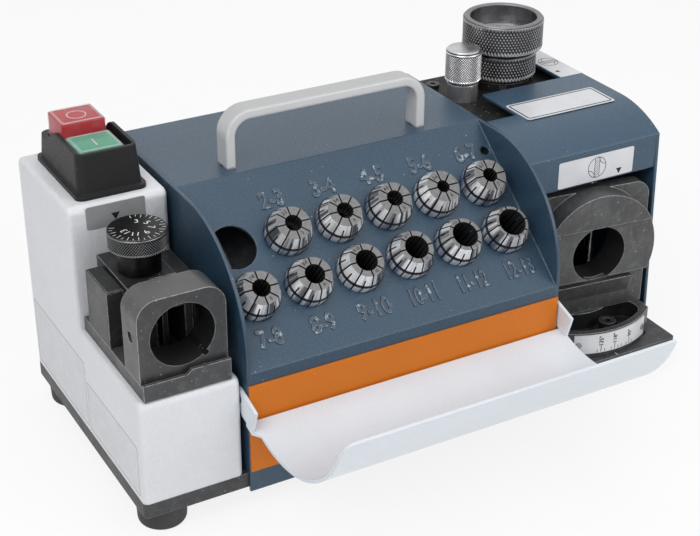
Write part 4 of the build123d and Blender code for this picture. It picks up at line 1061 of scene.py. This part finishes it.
class GRINDER_OT_web_dial(bpy.types.Operator):
    """Turns and knurls the web dial and fills its marks"""

    bl_idname = "grinder.web_dial"
    bl_label = "Web dial"

    def execute(self, context):
        size = sizes()
        axis = middle("web_dial")
        low, high = heights("web_dial")
        radius = 12.6
        stem = 4.0
        rim = high - 8.3
        collar = rim - 10.4
        lower = [
            (0.0, low), (stem, low), (stem, collar), (8.85, collar), (9.15, collar + 0.3), (9.15, rim),
            (11.9, rim),
        ]
        band = rows(radius, rim + 0.7, high - 0.7, 11)
        upper = [(12.1, high), (0.0, high)]
        dial = knurled_turning(lower, band, upper, axis, size.dial_teeth, size.fine_knurl)
        valley, crest, plain = (shade(colours().black_steel, factor) for factor in (0.2, 2.4, 0.34))
        steel = knurled("dial_black", valley, crest, plain, axis, radius * MM, size.fine_knurl, 0.36)
        seat(dial, "web_dial_knurled", "dial", "black_steel", steel, "web_dial")

        depth = size.ink_depth
        top = high * MM
        first_mark = 83.4
        mark_step = 12.0
        first_number = 13.0
        number_step = 47.3

        def on_dial(degrees, reach, level, turn=0.0):
            """Place on the dial's face, at an angle clockwise from the first mark."""
            centre = shifted(over(axis, level), 0.0, 0.0, radians(first_mark - degrees))
            return shifted(centre, reach, 0.0, turn)

        marks = []
        for first, reach in ((0, 2.5 * MM), (1, 1.5 * MM)):
            places = [
                on_dial(mark_step * k, 11.7 * MM - reach / 2, top - depth / 2) for k in range(first, 25, 2)
            ]
            marks += repeated(slab(reach, 0.26 * MM, depth), places)
        for k, number in enumerate((3, 5, 7, 9, 11, 13)):
            place = on_dial(first_number + number_step * k, 5.7 * MM, top, -pi / 2)
            marks.append(lettering(str(number), 3.1 * MM, depth / 2, place))
        seat(joined(marks), "web_dial_marks", "dial", "scale_white", material("enamel_white"))
        return {"FINISHED"}


class GRINDER_OT_buttons(bpy.types.Operator):
    """Makes the push buttons, their clear caps and their signs"""

    bl_idname = "grinder.buttons"
    bl_label = "Push buttons"

    def execute(self, context):
        size = sizes()
        wall = size.lens_wall
        ink = size.ink_depth
        for name, finish, slot in (("stop", "stop_red", "red"), ("start", "start_green", "green")):
            low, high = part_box(name + "_button")
            centre = (low + high) / 2
            width = high.x - low.x
            depth = high.y - low.y
            core_top = high.z - wall
            foot = over(centre, low.z)
            cap = slab(width, depth, high.z - low.z, 1.0 * MM, foot)
            core = slab(width - 2 * wall, depth - 2 * wall, core_top - low.z, 0.7 * MM, foot)
            ease_top(cap, high.z, 0.9 * MM)
            ease_top(core, core_top, 0.6 * MM)
            seat(core, name + "_core", name, slot, material(finish), name + "_button")
            seat(cap, name + "_cap", name, slot, material("clear_cap"))
            crown = over(centre, high.z - 0.12 * MM)
            # Two thin whitish lines on each cap are painted highlights along its edges.
            lines = [
                outline(width - inset, depth - inset, 0.2 * MM, 0.1 * MM, 0.9 * MM, crown)
                for inset in (1.8 * MM, 3.2 * MM)
            ]
            seat(joined(lines), name + "_cap_edge", name, slot, material("cap_edge"))
            face = over(centre, core_top - ink / 2)
            if name == "stop":
                sign = flat_ring(4.1 * MM, 0.55 * MM, ink, face)
            else:
                sign = slab(0.75 * MM, 6.8 * MM, ink, 0.2 * MM, face)
            seat(sign, name + "_sign", name, "scale_white", material("sign_white"))
        return {"FINISHED"}


class GRINDER_OT_rack_numbers(bpy.types.Operator):
    """Stamps the size numbers beside the collets"""

    bl_idname = "grinder.rack_numbers"
    bl_label = "Rack numbers"

    def execute(self, context):
        size = sizes()
        slope_top = at(0.0, 67.0, 113.0)
        row_split = max(middle(name).z for name in collets) - 8.0 * MM
        face_depth = 0.1 * MM
        rounding = size.number_relief - face_depth
        labels = []
        for name in collets:
            centre = middle(name)
            down = size.upper_label if centre.z > row_split else size.lower_label
            origin = slope_top - slope_up * down
            origin.x = centre.x
            text = size_text(name)
            place = facing(origin, RIGHT, slope_up)
            narrow = 0.80 if len(text) < 5 else 0.62
            labels.append(
                lettering(text, size.number_height, face_depth, place, rounding, narrow, 0.05 * MM)
            )
        finish = stamped("stamped_paint", colours().blue)
        numbers = joined(labels)
        smooth(numbers, 50.0)
        seat(numbers, "rack_numbers", "frame", "blue_paint", finish)
        return {"FINISHED"}


class GRINDER_OT_angle_marks(bpy.types.Operator):
    """Marks the angle scale of the lip port and the index line on the base"""

    bl_idname = "grinder.angle_marks"
    bl_label = "Angle marks"

    def execute(self, context):
        depth = sizes().ink_depth
        pivot = Vector(joints["swivel_turn"]["pos_m"])
        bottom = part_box("angle_scale")[0].z
        mark_foot = 0.5 * MM
        long_mark = 3.4 * MM
        short_mark = 1.5 * MM
        side_step = 2.6
        extra_mark = 4.4
        numbers = {-11.0: 135, -1.0: 118, 11.0: 90}

        def on_scale(angle, height, right=RIGHT, up=UP, out=-depth / 2):
            """Place on the round face of the scale."""
            centre = shifted(over(pivot, 0.0), 0.0, 0.0, radians(angle))
            return centre @ facing((0.0, -SCALE_RADIUS - out, bottom + height), right, up)

        marks = []
        for angle, number in numbers.items():
            place = on_scale(angle, 6.4 * MM, UP, -RIGHT, 0.0)
            marks.append(lettering(str(number) + "°", 2.1 * MM, depth / 2, place, bold=0.08 * MM))
        places = [on_scale(angle, mark_foot + long_mark / 2) for angle in numbers]
        marks += repeated(slab(0.32 * MM, long_mark, depth), places)
        short_angles = [angle + step for angle in numbers for step in (-side_step, side_step)]
        places = [on_scale(angle, mark_foot + short_mark / 2) for angle in (*short_angles, extra_mark)]
        marks += repeated(slab(0.28 * MM, short_mark, depth), places)
        seat(joined(marks), "angle_marks", "swivel", "dark_screw", material("ink"))

        base_low, base_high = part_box("base_plate")
        spot = Vector((pivot.x, base_low.y + 1.5 * MM, base_high.z - depth / 2))
        index = slab(0.35 * MM, 2.4 * MM, depth, 0.0, facing(spot, RIGHT, BACK))
        seat(index, "index_line", "frame", "scale_white", material("enamel_white"))
        return {"FINISHED"}


class GRINDER_OT_plates(bpy.types.Operator):
    """Sticks the blank plates on the covers and prints their signs"""

    bl_idname = "grinder.plates"
    bl_label = "Plates and signs"

    def plate(self, name, width, height, rounding, place, finish, border=0.0):
        """Blank plate, with a printed border line if asked; gives the place of its print."""
        size = sizes()
        piece = slab(width, height, size.plate_depth, rounding, place)
        seat(piece, name, "frame", "scale_white", material(finish))
        printed = place @ Matrix.Translation((0.0, 0.0, size.plate_depth - size.ink_depth / 2))
        if border:
            inner = (width - 2 * border, height - 2 * border)
            line = outline(*inner, 0.7 * MM, size.ink_depth, rounding, printed)
            seat(line, name + "_border", "frame", "dark_screw", material("ink"))
        return printed

    def print_marks(self, name, marks):
        """Joins printed marks to one piece."""
        seat(joined(marks), name, "frame", "dark_screw", material("ink"))

    def drill_sign(self, place):
        """End view of a drill: ring, hatched web and two flutes."""
        depth = sizes().ink_depth
        radius = 5.1 * MM
        line = 0.26 * MM
        ring = flat_ring(radius, 0.30 * MM, depth, place)
        web_places = [shifted(place, side * 0.27 * radius, 0.0) for side in (-1, 1)]
        webs = repeated(slab(line, 1.86 * radius, depth), web_places)
        flute = flat_ring(0.78 * radius, line, depth, HOME, 20, radians(84.0), radians(267.0))
        flutes = repeated(flute, [shifted(place, radius, radius), shifted(place, -radius, -radius, pi)])
        stroke_places = [shifted(place, 0.0, 0.26 * k * radius, radians(38.0)) for k in range(-3, 4)]
        strokes = repeated(slab(0.62 * radius, 0.2 * MM, depth), stroke_places)
        return [ring, *webs, *flutes, *strokes]

    def execute(self, context):
        depth = sizes().ink_depth
        spot = facing(at(21.2, 67.0, 107.1), RIGHT, UP)
        printed = self.plate("tower_plate", 26.4 * MM, 10.4 * MM, 1.0 * MM, spot, "plate_foil")
        arrow = pointer(2.2 * MM, depth, shifted(printed, -0.2 * MM, -0.6 * MM))
        self.print_marks("tower_pointer", [arrow])

        spot = facing(at(247.4, 63.5, 113.0), RIGHT, BACK)
        self.plate("guard_plate", 51.0 * MM, 19.6 * MM, 1.4 * MM, spot, "plate_white", 1.0 * MM)

        spot = facing(at(244.2, 29.0, 93.9), RIGHT, UP)
        printed = self.plate("lip_plate", 43.4 * MM, 13.2 * MM, 1.0 * MM, spot, "plate_white")
        sign = self.drill_sign(shifted(printed, 0.4 * MM, 0.2 * MM))
        arrow = pointer(1.9 * MM, depth, shifted(printed, 13.5 * MM, -3.8 * MM))
        self.print_marks("lip_marks", [*sign, arrow])

        spot = facing(at(274.2, 110.5, 113.0), RIGHT, BACK)
        printed = self.plate("strip_plate", 12.8 * MM, 39.0 * MM, 0.6 * MM, spot, "plate_white")
        sign = self.drill_sign(shifted(printed, 0.6 * MM, 1.0 * MM, pi / 2))
        arrow = pointer(1.7 * MM, depth, shifted(printed, -3.1 * MM, -12.2 * MM, -pi / 2))
        self.print_marks("strip_marks", [*sign, arrow])
        return {"FINISHED"}


class GRINDER_OT_stage(bpy.types.Operator):
    """Adds the floor, the studio light and the camera"""

    bl_idname = "grinder.stage"
    bl_label = "Studio"

    def lamp(self, name, place, width, power):
        """Soft square lamp aimed at the grinder."""
        aim = Vector((0.0, 0.0, 0.06))
        turn = (aim - Vector(place)).to_track_quat("-Z", "Y").to_euler()
        bpy.ops.object.light_add(type="AREA", location=place, rotation=turn)
        lamp = bpy.context.object
        lamp.name = name
        lamp.data.shape = "SQUARE"
        lamp.data.size = width
        lamp.data.energy = power

    def execute(self, context):
        deselect()
        bpy.ops.mesh.primitive_grid_add(x_subdivisions=8, y_subdivisions=8, size=6.0)
        floor = context.object
        floor.name = "floor"
        pale = Finish("floor_white")
        cloud = pale.uneven(pale.noise(3.0))
        tint = pale.mix(cloud, (0.90, 0.90, 0.905, 1.0), (0.92, 0.92, 0.925, 1.0))
        floor.data.materials.append(pale.surface(Base_Color=tint, Roughness=0.7))
        pale.show_white(pale.shader.outputs[0], "ShaderNodeEmission", 0.85, "Material Output")

        world = bpy.data.worlds.new("studio")
        context.scene.world = world
        world.use_nodes = True
        sky = Wiring(world.node_tree)
        soft = sky.tree.nodes["Background"]
        sky.feed(soft.inputs["Color"], WHITE)
        sky.feed(soft.inputs["Strength"], 0.30)
        sky.show_white(soft.outputs[0], "ShaderNodeBackground", 1.0, "World Output")

        self.lamp("key", (-0.85, -0.55, 1.15), 0.9, 9.6)
        self.lamp("fill", (0.75, -1.1, 0.8), 1.0, 8.2)
        self.lamp("top", (0.05, 0.25, 1.3), 1.0, 4.3)

        eye = at(-175.519, -480.169, 391.988)
        view = (radians(61.547975), radians(-0.271311), radians(-29.347386))
        bpy.ops.object.camera_add(location=eye, rotation=view)
        camera = context.object
        camera.name = "camera"
        camera.data.sensor_width = 36.0
        camera.data.sensor_fit = "HORIZONTAL"
        camera.data.lens = 78.572
        context.scene.camera = camera
        context.scene.view_settings.view_transform = "Standard"
        return {"FINISHED"}


OPERATORS = (
    GRINDER_OT_paintwork,
    GRINDER_OT_metalwork,
    GRINDER_OT_mouldings,
    GRINDER_OT_collets,
    GRINDER_OT_drive,
    GRINDER_OT_chuck,
    GRINDER_OT_depth_knob,
    GRINDER_OT_web_dial,
    GRINDER_OT_buttons,
    GRINDER_OT_rack_numbers,
    GRINDER_OT_angle_marks,
    GRINDER_OT_plates,
    GRINDER_OT_stage,
)


class GRINDER_PT_panel(bpy.types.Panel):
    """Lists the steps that dress the grinder"""

    bl_idname = "GRINDER_PT_panel"
    bl_label = "Drill Bit Grinder"
    bl_space_type = "VIEW_3D"
    bl_region_type = "UI"
    bl_category = "Grinder"

    def draw(self, context):
        for group in (context.scene.grinder_colours, context.scene.grinder_sizes):
            for name in group.__annotations__:
                self.layout.prop(group, name)
        for operator in OPERATORS:
            self.layout.operator(operator.bl_idname)


CLASSES = (GrinderColours, GrinderSizes, *OPERATORS, GRINDER_PT_panel)


def register():
    """Adds the classes and the scene's settings."""
    for item in CLASSES:
        bpy.utils.register_class(item)
    bpy.types.Scene.grinder_colours = PointerProperty(type=GrinderColours)
    bpy.types.Scene.grinder_sizes = PointerProperty(type=GrinderSizes)


def unregister():
    """Removes what register added."""
    del bpy.types.Scene.grinder_sizes
    del bpy.types.Scene.grinder_colours
    for item in reversed(CLASSES):
        bpy.utils.unregister_class(item)


def main():
    """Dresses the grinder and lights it."""
    register()
    bpy.ops.grinder.paintwork()
    bpy.ops.grinder.metalwork()
    bpy.ops.grinder.mouldings()
    bpy.ops.grinder.collets()
    bpy.ops.grinder.drive()
    bpy.ops.grinder.chuck()
    bpy.ops.grinder.depth_knob()
    bpy.ops.grinder.web_dial()
    bpy.ops.grinder.buttons()
    bpy.ops.grinder.rack_numbers()
    bpy.ops.grinder.angle_marks()
    bpy.ops.grinder.plates()
    bpy.ops.grinder.stage()


if __name__ == "__main__":
    main()
